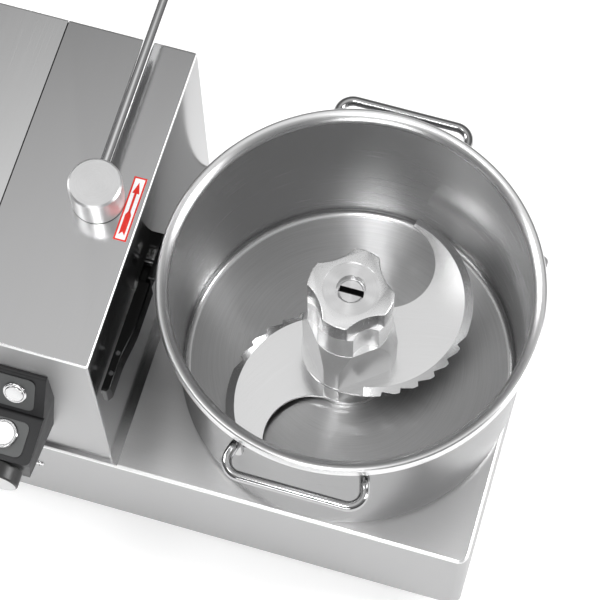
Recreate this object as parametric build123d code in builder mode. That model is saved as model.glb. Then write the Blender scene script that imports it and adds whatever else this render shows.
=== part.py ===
from build123d import *
import math
import os

os.makedirs("parts", exist_ok=True)

# Table-top bowl cutter.  Millimetres.  +X runs from the motor housing to the bowl,
# +Y to the rear, +Z up.  The origin is at table level under the middle of the machine.

# ---------------------------------------------------------------- driving sizes
# fits
run_fit = 0.05          # radial clearance of a shaft in its bore
slide_fit = 0.3         # clearance between parts that slide or turn past each other
seat_gap = 0.2          # the bowl's rest gap above the deck

# feet and base
foot_height = 20.0
foot_radius = 18.0
foot_neck = 14.0
foot_inset = 34.0
foot_bolt = 3.0
base_height = 128.0
base_margin = 5.0       # how far the base stands out past the housing, front and rear
base_corner = 9.0
base_fold = 3.0
base_sheet = 2.0
floor_sheet = 2.5
rim_overhang = 11.5     # how far the bowl's rim reaches past the end of the base

# bowl
rim_radius = 150.0
rim_bead = 5.0
bowl_mouth = 140.0
bowl_foot = 138.0
bowl_depth = 166.0
bowl_sheet = 2.0
bowl_fillet = 6.0
boss_radius = 33.0
boss_height = 5.3
stem_bore = 15.0
stem_wall = 2.0
stem_height = 104.0

# bowl handles
handle_rod = 4.0
handle_reach = 163.5
handle_half_span = 57.0
handle_leg_half_span = 50.0
handle_leg = 24.0
handle_drop = 20.0
handle_corner = 12.0
handle_bend = 7.0
weld_depth = 0.4

# motor housing
housing_clear = 13.0    # bowl rim to housing wall
housing_length = 104.5
housing_depth = 272.0
housing_height = 217.5
housing_fold = 2.0
housing_sheet = 1.5
foot_flange = 5.0
seam_gap = 1.0
cover_length = 80.0
strap_width = 24.0
strap_sheet = 1.5

# spindle and its bearings
spindle_radius = 10.0
spindle_slot = 5.0
spindle_slot_depth = 10.0
bearing_outer = 23.5
bearing_width = 14.0
bearing_lip = 3.0       # bearing housing below its lower bearing
bearing_shoulder = 4.0
bearing_ring = 4.0
bearing_shield = 1.0
neck_body = 31.0
neck_flange = 62.0
neck_flange_height = 8.0
neck_wall = 2.6
neck_height = 100.0
bush_length = 24.0
bush_wall = 2.0
neck_screw_circle = 50.0
neck_screw = 3.0
neck_screw_head = neck_screw + base_sheet
neck_clear = 8.0        # hole in the deck round the bowl's stem

# cutting head
knob_drop = 4.0         # knob's top below the bowl's rim
spindle_drop = 5.0      # spindle's end below the knob's top
knob_radius = 34.0
knob_valley = 27.0
knob_lobe = 17.5        # half angle of a lobe, degrees
knob_height = 24.0
knob_bore = 11.6
knob_bore_depth = 9.0
knob_face = 22.2
knob_face_depth = 0.8
knob_edge = 0.8
sleeve_radius = 33.8
sleeve_valley = 26.8
sleeve_lobe = 26.5
sleeve_height = 36.0
block_radius = 39.5
block_flats = 64.4
block_cone_top = 34.1
block_cone_height = 30.0
blade_sheet = 3.0
blade_root = 39.7
blade_arc = 84.4        # radius of the convex cutting edge
blade_hollow = 40.0     # radius of the concave back
blade_tip = 9.0         # how far past the arm's centre line the tip is cut off
blade_bevel = 7.0
blade_edge = 0.6
blade_heading = 83.0    # direction of the arm's centre line, degrees
blade_teeth = 6
tooth_depth = 3.6
tooth_pitch = 10.9      # degrees about the convex edge's centre
tooth_first = -67.7
spacer_height = 25.0
collar_radius = 38.4
collar_wall = 3.2
collar_height = 7.0
collar_web = 1.6
floor_gap = 1.0         # lower collar above the bowl's floor
carrier_radius = 21.0
carrier_cap = 8.0
carrier_drop = 18.0     # carrier's top below the knob
drive_pin = 3.0
head_turn = -7.0        # how the lobes stand about the spindle, degrees

# belt drive and motor
motor_distance = 236.0
motor_radius = 62.0
motor_height = 150.0
motor_wall = 4.0
motor_flange = 8.0
motor_flange_half = 66.0
motor_shaft = 9.5
motor_cap = 12.0
motor_bearing = 17.5
motor_bolt = 3.0
motor_bolt_circle = 68.0
rotor_radius = 36.0
rotor_height = 90.0
air_gap = 0.5
fan_radius = 50.0
fan_height = 14.0
fan_blades = 9
pulley_height = 22.0
pulley_flange = 2.0
pulley_clear = 7.0      # pulley to the bearing housing above it
spindle_pulley_radius = 46.0
motor_pulley_radius = 32.0
pulley_rise = 14.0      # lower edge of the pulleys above the machine's floor plate
belt_thick = 4.0
belt_gap = 0.3
drive_box = (38.0, 120.0, 120.0)
drive_box_distance = 325.0

# lid arm
arm_offset = 198.0      # pivot to the bowl's axis
arm_shift = -4.0        # pivot off the machine's middle plane
post_radius = 20.5
post_height = 29.0
post_edge = 1.5
post_roof = 5.0
arm_rod = 4.5
arm_rise = 17.0
arm_reach = 198.0
arm_socket = 12.0
pivot_radius = 6.0
pivot_flange = 13.0
washer_thick = 1.0
grub_radius = 2.5
grub_length = 13.0
grub_rise = 10.0
grub_turn = 124.0

# side lever
lever_drop = 20.0       # lever's centre line below the bowl's rim
lever_height = 24.0
lever_thick = 9.8
lever_tip_thick = 6.5
lever_reach = 102.0
lever_step = 34.0
lever_step_run = 36.0
lever_start = 8.0
lever_tongue = 4.9
lever_hub = 9.5
lever_pivot = 28.5      # pivot in front of the machine's middle plane
lever_pin = 2.25
lever_pin_rise = 1.5
lever_stop = 12.5       # stop pin behind the pivot
lever_edge = 1.6
lever_screw_at = (70.0, 87.0)
bracket_sheet = 3.0
bracket_block_front = 8.0
bracket_block_rear = 6.0
bracket_cheek = 2.8
bracket_cheek_half = 7.5

# console
console_centre = 225.0  # from the bowl's axis
console_half = 26.0
console_rise = 4.0      # its top above the bowl's rim
console_ledge = 3.0
console_knee = 22.0     # how far in front of the housing the two faces meet
console_knee_drop = 30.0
console_groove = 2.5
console_reach = 60.0
console_lip_drop = 38.0
console_lip = 4.0
console_lip_over = 2.0
console_front_drop = 74.0
console_foot_drop = 114.0
console_taper = 9.0
console_wall = 2.5
console_corner = 5.0
console_window = (32.0, 40.0)
plate_thick = 0.8
plate_margin = 8.0
plate_edge_margin = 4.0
plate_corner = 5.0
stop_head = 9.5
stop_button_radius = 7.2
stop_at = (2.5, 0.0)
start_head = 11.5
start_button_radius = 8.8
start_at = (-0.5, 1.5)
head_rise = 2.2
button_rise = 2.8
button_travel = 2.0
barrel_depth = 9.0
barrel_wall = 1.2
speed_knob_radius = 18.5
speed_knob_length = 12.7
speed_knob_drop = 58.0
speed_knob_edge = 1.2
speed_bush = 5.0
speed_shaft_radius = 3.0
speed_body_radius = 12.0
speed_body_length = 16.0
pointer_width = 2.4
pointer_depth = 1.0

# small hardware and openings
screw_head = 4.0
screw_head_height = 2.4
screw_shank = 2.0
screw_length = 7.0
vent_length = 46.0
vent_width = 4.0
vent_pitch = 12.0
vent_rows = 9
gland_radius = 11.0
gland_thread = 8.0
gland_bore = 4.0
gland_height = 14.0
gland_nut = 5.0
gland_inset = 60.0      # from the base's left end
label_length = 54.0
label_width = 10.3
label_thick = 0.3
label_inset = 9.2       # label's middle from the housing's wall
label_shift = -5.0

# ---------------------------------------------------------------- derived places
deck_z = foot_height + base_height
seat_z = deck_z + seat_gap
bowl_floor_z = seat_z + bowl_sheet
rim_z = bowl_floor_z + bowl_depth
housing_z = deck_z + housing_height
base_depth = housing_depth + 2 * base_margin

body_left = foot_flange + cover_length + seam_gap + housing_length + housing_clear + rim_radius
bowl_x = (body_left - rim_radius) / 2
front_reach = housing_depth / 2 + console_reach + slide_fit + speed_knob_length
rear_reach = arm_reach + arm_shift
mid_y = (front_reach - rear_reach) / 2

base_right = bowl_x + rim_radius - rim_overhang
base_left = bowl_x - body_left
base_length = base_right - base_left
base_mid_x = (base_right + base_left) / 2
wall_x = bowl_x - rim_radius - housing_clear
seam_right = wall_x - housing_length
seam_left = seam_right - seam_gap
cover_left = seam_left - cover_length
front_y = mid_y - housing_depth / 2
rear_y = mid_y + housing_depth / 2
base_front = mid_y - base_depth / 2
base_rear = mid_y + base_depth / 2

edge_flange = base_margin - base_fold / 2

bowl_axis = Axis((bowl_x, mid_y, 0), (0, 0, 1))
bowl_section = Plane(origin=(bowl_x, mid_y, 0), x_dir=(1, 0, 0), z_dir=(0, -1, 0))


def level(z):
    """Horizontal plane at height z, centred on the bowl's axis."""
    return Plane(origin=(bowl_x, mid_y, z), x_dir=(1, 0, 0), z_dir=(0, 0, 1))


def lobed(radius, valley, lobe):
    """Outline with four convex lobes and four concave scallops."""
    with BuildSketch() as outline:
        with BuildLine():
            for k in range(4):
                centre = head_turn + 90 * k
                CenterArc((0, 0), radius, centre - lobe, 2 * lobe)
                ThreePointArc(
                    Vector(radius, 0).rotate(Axis.Z, centre + lobe),
                    Vector(valley, 0).rotate(Axis.Z, centre + 45),
                    Vector(radius, 0).rotate(Axis.Z, centre + 90 - lobe),
                )
        make_face()
    return outline.sketch


def ring_sector(inner, outer, start, span):
    """Part of a flat ring between two radii."""
    with BuildSketch() as outline:
        with BuildLine():
            CenterArc((0, 0), inner, start, span)
            CenterArc((0, 0), outer, start, span)
            Line(Vector(inner, 0).rotate(Axis.Z, start), Vector(outer, 0).rotate(Axis.Z, start))
            Line(
                Vector(inner, 0).rotate(Axis.Z, start + span),
                Vector(outer, 0).rotate(Axis.Z, start + span),
            )
        make_face()
    return outline.sketch


def finish(piece, name):
    """Label a finished piece and write it to its own file."""
    piece.part.label = name
    export_step(piece.part, f"parts/{name}.step")


# ---------------------------------------------------------------- base
neck_hole = stem_bore + stem_wall + neck_clear
neck_screw_spots = [
    Vector(neck_screw_circle, 0).rotate(Axis.Z, 45 + 90 * k) for k in range(4)
]
motor_x = -motor_distance
motor_bolt_spots = [
    Vector(motor_bolt_circle, 0).rotate(Axis.Z, 45 + 90 * k) + Vector(motor_x, 0)
    for k in range(4)
]
motor_spigot = motor_shaft + 12
gland_x = base_left + gland_inset
gland_z = foot_height + base_height / 2
foot_x = base_length / 2 - foot_inset
base_screw_z = foot_height + base_height * 0.62
foot_y = base_depth / 2 - foot_inset

with BuildPart() as base_shell:
    with BuildSketch(Plane.XY.offset(foot_height)):
        with Locations((base_mid_x, mid_y)):
            RectangleRounded(base_length, base_depth, base_corner)
    extrude(amount=base_height)
    fillet(base_shell.faces().sort_by(Axis.Z)[-1].edges(), base_fold)
    offset(amount=-base_sheet, openings=base_shell.faces().sort_by(Axis.Z)[0])
    with BuildSketch(level(deck_z)):
        Circle(neck_hole)
        with Locations((motor_x, 0)):
            Circle(motor_spigot)
        with Locations(*motor_bolt_spots):
            Circle(motor_bolt + run_fit)
    extrude(amount=-base_sheet * 2, mode=Mode.SUBTRACT)
    with Locations(*[Vector(bowl_x, mid_y, deck_z) + spot for spot in neck_screw_spots]):
        CounterSinkHole(neck_screw + run_fit, neck_screw_head + run_fit, base_sheet * 2, 90)
    with BuildSketch(Plane(origin=(gland_x, base_rear, gland_z), z_dir=(0, 1, 0))):
        Circle(gland_thread)
    extrude(amount=-base_sheet * 2, mode=Mode.SUBTRACT)
finish(base_shell, "base_shell")

plate_length = base_length - 2 * (base_sheet + slide_fit)
plate_depth = base_depth - 2 * (base_sheet + slide_fit)
with BuildPart() as base_plate:
    with BuildSketch(Plane.XY.offset(foot_height)):
        with Locations((base_mid_x, mid_y)):
            RectangleRounded(plate_length, plate_depth, base_corner - base_sheet)
            with GridLocations(2 * foot_x, 2 * foot_y, 2, 2):
                Circle(foot_bolt + run_fit, mode=Mode.SUBTRACT)
            with GridLocations(vent_length * 1.5, vent_pitch, 2, vent_rows):
                SlotOverall(vent_length, vent_width, mode=Mode.SUBTRACT)
    extrude(amount=floor_sheet)
finish(base_plate, "base_plate")

with BuildPart() as feet:
    with BuildSketch():
        with Locations((base_mid_x, mid_y)):
            with GridLocations(2 * foot_x, 2 * foot_y, 2, 2):
                Circle(foot_neck)
    extrude(amount=foot_height, taper=math.degrees(math.atan((foot_neck - foot_radius) / foot_height)))
    with BuildSketch():
        with Locations((base_mid_x, mid_y)):
            with GridLocations(2 * foot_x, 2 * foot_y, 2, 2):
                Circle(foot_neck - 6)
    extrude(amount=foot_height / 2, mode=Mode.SUBTRACT)
    with BuildSketch():
        with Locations((base_mid_x, mid_y)):
            with GridLocations(2 * foot_x, 2 * foot_y, 2, 2):
                Circle(foot_bolt + run_fit)
    extrude(amount=foot_height, mode=Mode.SUBTRACT)
finish(feet, "feet")

with BuildPart() as foot_bolts:
    with BuildSketch(Plane.XY.offset(foot_height / 2 - foot_bolt)):
        with Locations((base_mid_x, mid_y)):
            with GridLocations(2 * foot_x, 2 * foot_y, 2, 2):
                RegularPolygon(foot_bolt * 1.8, 6)
    extrude(amount=foot_bolt)
    with BuildSketch(Plane.XY.offset(foot_height / 2)):
        with Locations((base_mid_x, mid_y)):
            with GridLocations(2 * foot_x, 2 * foot_y, 2, 2):
                Circle(foot_bolt)
    extrude(amount=foot_height / 2 + floor_sheet + 2)
    with BuildSketch(Plane.XY.offset(foot_height + floor_sheet)):
        with Locations((base_mid_x, mid_y)):
            with GridLocations(2 * foot_x, 2 * foot_y, 2, 2):
                RegularPolygon(foot_bolt * 1.9, 6)
    extrude(amount=foot_bolt * 1.4)
finish(foot_bolts, "foot_bolts")

# ---------------------------------------------------------------- motor housing
with BuildPart() as housing_shell:
    with BuildSketch(Plane.XY.offset(deck_z)):
        with Locations((wall_x - housing_length / 2, mid_y)):
            Rectangle(housing_length, housing_depth)
    extrude(amount=housing_height)
    top = housing_shell.faces().sort_by(Axis.Z)[-1]
    folds = top.edges().sort_by(Axis.X)[1:] + housing_shell.edges().filter_by(Axis.Z).sort_by(Axis.X)[-2:]
    fillet(folds, housing_fold)
    offset(
        amount=-housing_sheet,
        openings=[
            housing_shell.faces().sort_by(Axis.X)[0],
            housing_shell.faces().sort_by(Axis.Z)[0],
        ],
    )
    with BuildSketch(Plane.XY.offset(deck_z)):
        with Locations((wall_x - (housing_length - foot_flange) / 2, mid_y)):
            Rectangle(housing_length + foot_flange, housing_depth + 2 * edge_flange)
        with Locations((wall_x - housing_length / 2 - housing_sheet, mid_y)):
            Rectangle(housing_length, housing_depth - 2 * housing_sheet, mode=Mode.SUBTRACT)
    extrude(amount=housing_sheet)
    with BuildSketch(level(housing_z)):
        with Locations((-arm_offset, arm_shift)):
            Circle(pivot_radius)
    extrude(amount=-2 * housing_sheet, mode=Mode.SUBTRACT)
finish(housing_shell, "housing_shell")

cover_mid_z = deck_z + housing_height / 2
with BuildPart() as side_cover:
    with BuildSketch(Plane.XY.offset(deck_z)):
        with Locations((cover_left + cover_length / 2, mid_y)):
            Rectangle(cover_length, housing_depth)
    extrude(amount=housing_height)
    top = side_cover.faces().sort_by(Axis.Z)[-1]
    folds = top.edges().sort_by(Axis.X)[:-1] + side_cover.edges().filter_by(Axis.Z).sort_by(Axis.X)[:2]
    fillet(folds, housing_fold)
    offset(
        amount=-housing_sheet,
        openings=[
            side_cover.faces().sort_by(Axis.X)[-1],
            side_cover.faces().sort_by(Axis.Z)[0],
        ],
    )
    with BuildSketch(Plane.XY.offset(deck_z)):
        with Locations((cover_left + (cover_length - edge_flange) / 2, mid_y)):
            Rectangle(cover_length + edge_flange, housing_depth + 2 * edge_flange)
        with Locations((cover_left + cover_length / 2 + housing_sheet, mid_y)):
            Rectangle(cover_length, housing_depth - 2 * housing_sheet, mode=Mode.SUBTRACT)
    extrude(amount=housing_sheet)
    with BuildSketch(Plane(origin=(cover_left, mid_y, cover_mid_z), x_dir=(0, -1, 0), z_dir=(-1, 0, 0))):
        with GridLocations(vent_length * 1.5, vent_pitch, 2, vent_rows):
            SlotOverall(vent_length, vent_width)
    extrude(amount=-housing_sheet * 2, mode=Mode.SUBTRACT)
finish(side_cover, "side_cover")

strap_x = (seam_left + seam_right) / 2
inner_depth = housing_depth - 2 * housing_sheet
inner_top = housing_z - housing_sheet
strap_origin = (strap_x - strap_width / 2, mid_y, deck_z)
with BuildPart() as seam_strap:
    with BuildSketch(Plane(origin=strap_origin, x_dir=(0, 1, 0), z_dir=(1, 0, 0))):
        with Locations((0, (inner_top - deck_z) / 2)):
            Rectangle(inner_depth, inner_top - deck_z)
        with Locations((0, (inner_top - deck_z - strap_sheet) / 2)):
            Rectangle(inner_depth - 2 * strap_sheet, inner_top - deck_z - strap_sheet, mode=Mode.SUBTRACT)
    extrude(amount=strap_width)
    corners = seam_strap.edges().filter_by(Axis.X).group_by(Axis.Z)[-1]
    fillet(corners, housing_fold - housing_sheet / 2)
finish(seam_strap, "seam_strap")

screw_x = seam_left - strap_width / 4 - seam_gap
with BuildPart() as cover_screws:
    for share in (0.15, 0.5, 0.85):
        screw_z = deck_z + housing_height * share
        with BuildSketch(Plane(origin=(screw_x, rear_y, screw_z), z_dir=(0, 1, 0))):
            Circle(screw_head)
        extrude(amount=screw_head_height, taper=25)
finish(cover_screws, "cover_screws")

with BuildPart() as base_screws:
    for side_y, outward in ((base_front, -1), (base_rear, 1)):
        screw_origin = (bowl_x - console_centre - 5, side_y, base_screw_z)
        with BuildSketch(Plane(origin=screw_origin, z_dir=(0, outward, 0))):
            Circle(screw_head)
        extrude(amount=screw_head_height, taper=25)
finish(base_screws, "base_screws")

# ---------------------------------------------------------------- bearing housing
pulley_low = foot_height + pulley_rise
bearing_top = deck_z - base_sheet - neck_flange_height - bearing_shoulder
bearing_low = pulley_low + pulley_height + pulley_clear + bearing_lip
neck_top = deck_z + neck_height
neck_bore = spindle_radius + run_fit + bush_wall
neck_outer = neck_bore + neck_wall
flange_top = deck_z - base_sheet
bearing_step = bearing_outer - bearing_shoulder
with BuildPart() as bearing_housing:
    with BuildSketch(bowl_section):
        with BuildLine():
            Polyline(
                (bearing_outer, bearing_low - bearing_lip),
                (neck_body, bearing_low - bearing_lip),
                (neck_body, flange_top - neck_flange_height),
                (neck_flange, flange_top - neck_flange_height),
                (neck_flange, flange_top),
                (neck_outer, flange_top),
                (neck_outer, neck_top),
                (neck_bore, neck_top),
                (neck_bore, bearing_top),
                (bearing_outer, bearing_top),
                (bearing_outer, bearing_top - bearing_width),
                (bearing_step, bearing_top - bearing_width),
                (bearing_step, bearing_low + bearing_width),
                (bearing_outer, bearing_low + bearing_width),
                close=True,
            )
        make_face()
    revolve(axis=bowl_axis)
    with BuildSketch(level(flange_top)):
        with Locations(*neck_screw_spots):
            Circle(neck_screw + run_fit)
    extrude(amount=-neck_flange_height, mode=Mode.SUBTRACT)
finish(bearing_housing, "bearing_housing")

shield_outer = bearing_outer - bearing_ring
inner_ring = spindle_radius + bearing_ring
with BuildPart() as bearing_outer_rings:
    for low in (bearing_low, bearing_top - bearing_width):
        with BuildSketch(bowl_section):
            with Locations(((bearing_outer + shield_outer) / 2, low + bearing_width / 2)):
                Rectangle(bearing_ring, bearing_width)
            shield_mid = (shield_outer + inner_ring + slide_fit) / 2
            shield_span = shield_outer - inner_ring - slide_fit
            for shield_z in (low + bearing_shield, low + bearing_width - bearing_shield):
                with Locations((shield_mid, shield_z)):
                    Rectangle(shield_span, bearing_shield)
        revolve(axis=bowl_axis)
finish(bearing_outer_rings, "bearing_outer_rings")

with BuildPart() as bearing_inner_rings:
    for low in (bearing_low, bearing_top - bearing_width):
        with BuildSketch(bowl_section):
            with Locations(((spindle_radius + inner_ring) / 2, low + bearing_width / 2)):
                Rectangle(bearing_ring, bearing_width)
        revolve(axis=bowl_axis)
finish(bearing_inner_rings, "bearing_inner_rings")

with BuildPart() as spindle_bush:
    with BuildSketch(bowl_section):
        with Locations((spindle_radius + run_fit + bush_wall / 2, neck_top - bush_length / 2)):
            Rectangle(bush_wall, bush_length)
    revolve(axis=bowl_axis)
finish(spindle_bush, "spindle_bush")

with BuildPart() as neck_screws:
    with BuildSketch(level(deck_z)):
        with Locations(*neck_screw_spots):
            Circle(neck_screw_head)
    extrude(amount=-(neck_screw_head - neck_screw), taper=45)
    with BuildSketch(level(deck_z)):
        with Locations(*neck_screw_spots):
            Circle(neck_screw)
    extrude(amount=-(base_sheet + neck_flange_height + 5))
    with BuildSketch(level(flange_top - neck_flange_height)):
        with Locations(*neck_screw_spots):
            RegularPolygon(neck_screw * 1.9, 6)
    extrude(amount=-neck_screw * 1.4)
finish(neck_screws, "neck_screws")

# ---------------------------------------------------------------- bowl
recess_top = bowl_floor_z + boss_height - bowl_sheet
boss_top = bowl_floor_z + boss_height
stem_outer = stem_bore + stem_wall
stem_top = bowl_floor_z + stem_height
lug_inner = 24.0
lug_outer = 27.0
lug_tip = 30.5
lug_thick = 1.9
lug_span = 28.0
recess_radius = boss_radius - bowl_sheet
bead_z = rim_z - rim_bead
bowl_lugs = [
    ring_sector(lug_outer + slide_fit, recess_radius + 0.5, 120 * k, lug_span) for k in range(3)
]
with BuildPart() as bowl:
    with BuildSketch(bowl_section) as bowl_profile:
        with BuildLine():
            Polyline(
                (stem_bore, stem_top),
                (stem_outer, stem_top),
                (stem_outer, boss_top),
                (boss_radius - 1, boss_top),
                (boss_radius + 1, bowl_floor_z),
                (bowl_foot, bowl_floor_z),
                (bowl_mouth, bead_z),
                (bowl_mouth + bowl_sheet, bead_z),
                (bowl_foot + bowl_sheet, seat_z),
                (recess_radius, seat_z),
                (recess_radius, recess_top),
                (stem_bore, recess_top),
                close=True,
            )
        make_face()
        inner_corner = bowl_profile.vertices().sort_by_distance((bowl_foot, bowl_floor_z))[0]
        fillet(inner_corner, bowl_fillet)
        outer_corner = bowl_profile.vertices().sort_by_distance((bowl_foot + bowl_sheet, seat_z))[0]
        fillet(outer_corner, bowl_fillet + bowl_sheet)
        with Locations((rim_radius - rim_bead, bead_z)):
            Circle(rim_bead)
    revolve(axis=bowl_axis)
    with BuildSketch(level(seat_z)):
        add(bowl_lugs)
    extrude(amount=lug_thick)
finish(bowl, "bowl")

ring_lugs = [
    ring_sector(lug_inner, lug_tip, 120 * k + lug_span / 4, lug_span) for k in range(3)
]
with BuildPart() as bayonet_ring:
    with BuildSketch(level(deck_z)):
        Circle(lug_outer)
        Circle(neck_outer + slide_fit, mode=Mode.SUBTRACT)
    extrude(amount=2 * lug_thick + 2 * slide_fit + seat_gap)
    with BuildSketch(level(seat_z + lug_thick + slide_fit)):
        add(ring_lugs)
    extrude(amount=lug_thick)
finish(bayonet_ring, "bayonet_ring")

leg_radius = bowl_mouth + bowl_sheet + handle_rod - weld_depth
bar_z = rim_z - handle_drop
leg_y = math.sqrt(leg_radius**2 - handle_leg_half_span**2)
for handle_name, side in (("front_handle", -1), ("rear_handle", 1)):
    with BuildPart() as bowl_handle:
        with BuildLine() as handle_path:
            FilletPolyline(
                (bowl_x - handle_leg_half_span, mid_y + side * leg_y, bar_z - handle_leg),
                (bowl_x - handle_leg_half_span, mid_y + side * leg_y, bar_z),
                (bowl_x - handle_half_span, mid_y + side * handle_reach, bar_z),
                (bowl_x + handle_half_span, mid_y + side * handle_reach, bar_z),
                (bowl_x + handle_leg_half_span, mid_y + side * leg_y, bar_z),
                (bowl_x + handle_leg_half_span, mid_y + side * leg_y, bar_z - handle_leg),
                radius=(handle_bend, handle_corner, handle_corner, handle_bend),
            )
        with BuildSketch(Plane(origin=handle_path.line @ 0, z_dir=handle_path.line % 0)):
            Circle(handle_rod)
        sweep(path=handle_path.line)
    finish(bowl_handle, handle_name)

# ---------------------------------------------------------------- cutting head
knob_top = rim_z - knob_drop
knob_low = knob_top - knob_height
sleeve_low = knob_low - sleeve_height
collar_low = bowl_floor_z + floor_gap
lower_blade_z = collar_low + collar_height
spacer_z = lower_blade_z + blade_sheet
upper_blade_z = spacer_z + spacer_height
block_z = upper_blade_z + blade_sheet
carrier_bore = stem_outer + 1
carrier_top = knob_low - carrier_drop
spindle_low = foot_height + pulley_rise - 2
pin_z = carrier_top - carrier_cap

with BuildPart() as spindle:
    with BuildSketch(level(spindle_low)):
        Circle(spindle_radius)
    extrude(amount=knob_top - spindle_drop - spindle_low)
    chamfer(spindle.faces().sort_by(Axis.Z)[-1].edges(), 1)
    with BuildSketch(level(knob_top - spindle_drop)):
        Rectangle(4 * spindle_radius, spindle_slot)
    extrude(amount=-spindle_slot_depth, mode=Mode.SUBTRACT)
    with BuildSketch(Plane(origin=(bowl_x, mid_y, pin_z), z_dir=(0, 1, 0))):
        Circle(drive_pin)
    extrude(amount=2 * spindle_radius, both=True, mode=Mode.SUBTRACT)
finish(spindle, "spindle")

with BuildPart() as drive_cross_pin:
    with BuildSketch(Plane(origin=(bowl_x, mid_y, pin_z), z_dir=(0, 1, 0))):
        Circle(drive_pin)
    extrude(amount=carrier_bore - 1, both=True)
finish(drive_cross_pin, "drive_cross_pin")

with BuildPart() as blade_carrier:
    with BuildSketch(bowl_section):
        with BuildLine():
            Polyline(
                (carrier_bore, lower_blade_z - collar_web),
                (collar_radius - collar_wall, lower_blade_z - collar_web),
                (collar_radius - collar_wall, collar_low),
                (collar_radius, collar_low),
                (collar_radius, lower_blade_z),
                (carrier_radius, lower_blade_z),
                (carrier_radius, carrier_top),
                (spindle_radius + run_fit, carrier_top),
                (spindle_radius + run_fit, pin_z),
                (carrier_bore, pin_z),
                close=True,
            )
        make_face()
    revolve(axis=bowl_axis)
    with BuildSketch(Plane(origin=(bowl_x, mid_y, pin_z), z_dir=(0, 1, 0))):
        Circle(drive_pin + run_fit)
    extrude(amount=carrier_bore, both=True, mode=Mode.SUBTRACT)
finish(blade_carrier, "blade_carrier")

arm_centre = blade_arc - blade_root
hollow_centre = blade_hollow + blade_root
bevel_axis_xy = Vector(arm_centre, 0).rotate(Axis.Z, blade_heading)
bevel_parts = []
for blade_low, turn in ((upper_blade_z, 0.0), (lower_blade_z, 180.0)):
    blade_top = blade_low + blade_sheet
    centre = bevel_axis_xy.rotate(Axis.Z, turn)
    origin = Vector(bowl_x, mid_y, 0) + centre
    start = turn + tooth_first - tooth_pitch
    section = Plane(
        origin=origin,
        x_dir=Vector(1, 0, 0).rotate(Axis.Z, start),
        z_dir=Vector(0, -1, 0).rotate(Axis.Z, start),
    )
    with BuildPart() as bevel:
        with BuildSketch(section):
            with BuildLine():
                Polyline(
                    (blade_arc - blade_bevel, blade_top),
                    (blade_arc, blade_low + blade_edge),
                    (blade_arc + 2, blade_low + blade_edge),
                    (blade_arc + 2, blade_top + 1),
                    (blade_arc - blade_bevel, blade_top + 1),
                    close=True,
                )
            make_face()
        revolve(axis=Axis(origin, (0, 0, 1)), revolution_arc=190)
    bevel_parts.append(bevel.part)

blade_turns = (
    ("upper_blade", upper_blade_z, 0.0, bevel_parts[0]),
    ("lower_blade", lower_blade_z, 180.0, bevel_parts[1]),
)
for blade_name, blade_low, turn, bevel_part in blade_turns:
    plane = Plane(
        origin=(bowl_x, mid_y, blade_low),
        x_dir=Vector(1, 0, 0).rotate(Axis.Z, turn + blade_heading),
        z_dir=(0, 0, 1),
    )
    with BuildPart() as blade:
        with BuildSketch(plane):
            with Locations((arm_centre, 0)):
                Circle(blade_arc)
            with Locations((hollow_centre, 0)):
                Circle(blade_hollow, mode=Mode.SUBTRACT)
            tip_line = 2 * blade_arc - blade_root
            with BuildLine():
                Polyline(
                    (-blade_root - 5, 0),
                    (blade_root, 0),
                    (tip_line + 5, -blade_tip),
                    (tip_line + 5, -2 * blade_arc),
                    (-blade_root - 5, -2 * blade_arc),
                    close=True,
                )
            make_face(mode=Mode.INTERSECT)
            Circle(blade_root)
            Circle(carrier_radius + run_fit, mode=Mode.SUBTRACT)
            for k in range(blade_teeth):
                notch = tooth_first + tooth_pitch * k - blade_heading
                with BuildLine():
                    Polyline(
                        *[
                            Vector(arm_centre, 0)
                            + Vector(radius, 0).rotate(Axis.Z, notch + share * tooth_pitch)
                            for radius, share in (
                                (blade_arc + 1, -0.14),
                                (blade_arc - tooth_depth, 0.0),
                                (blade_arc + 1, 0.78),
                            )
                        ],
                        close=True,
                    )
                make_face(mode=Mode.SUBTRACT)
        extrude(amount=blade_sheet)
        add(bevel_part, mode=Mode.SUBTRACT)
    finish(blade, blade_name)

with BuildPart() as spacer_block:
    with BuildSketch(level(spacer_z)):
        Circle(block_radius)
        Rectangle(block_flats, block_flats, rotation=head_turn + 45, mode=Mode.INTERSECT)
        Circle(carrier_radius + run_fit, mode=Mode.SUBTRACT)
    extrude(amount=spacer_height)
finish(spacer_block, "spacer_block")

block_height = sleeve_low - block_z
with BuildPart() as upper_block:
    with BuildSketch(bowl_section):
        with BuildLine():
            Polyline(
                (carrier_radius + run_fit, block_z),
                (block_radius, block_z),
                (block_radius, sleeve_low - block_cone_height),
                (block_cone_top, sleeve_low),
                (carrier_radius + run_fit, sleeve_low),
                close=True,
            )
        make_face()
    revolve(axis=bowl_axis)
    with BuildSketch(level(block_z)):
        Rectangle(block_flats, block_flats, rotation=head_turn + 45)
    extrude(amount=block_height, mode=Mode.INTERSECT)
finish(upper_block, "upper_block")

sleeve_outline = lobed(sleeve_radius, sleeve_valley, sleeve_lobe)
with BuildPart() as hub_sleeve:
    with BuildSketch(level(sleeve_low)):
        add(sleeve_outline)
    extrude(amount=sleeve_height)
    with BuildSketch(level(sleeve_low)):
        Circle(carrier_radius + run_fit)
    extrude(amount=carrier_top - sleeve_low, mode=Mode.SUBTRACT)
    with BuildSketch(level(sleeve_low)):
        Circle(spindle_radius + run_fit)
    extrude(amount=sleeve_height, mode=Mode.SUBTRACT)
finish(hub_sleeve, "hub_sleeve")

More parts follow.
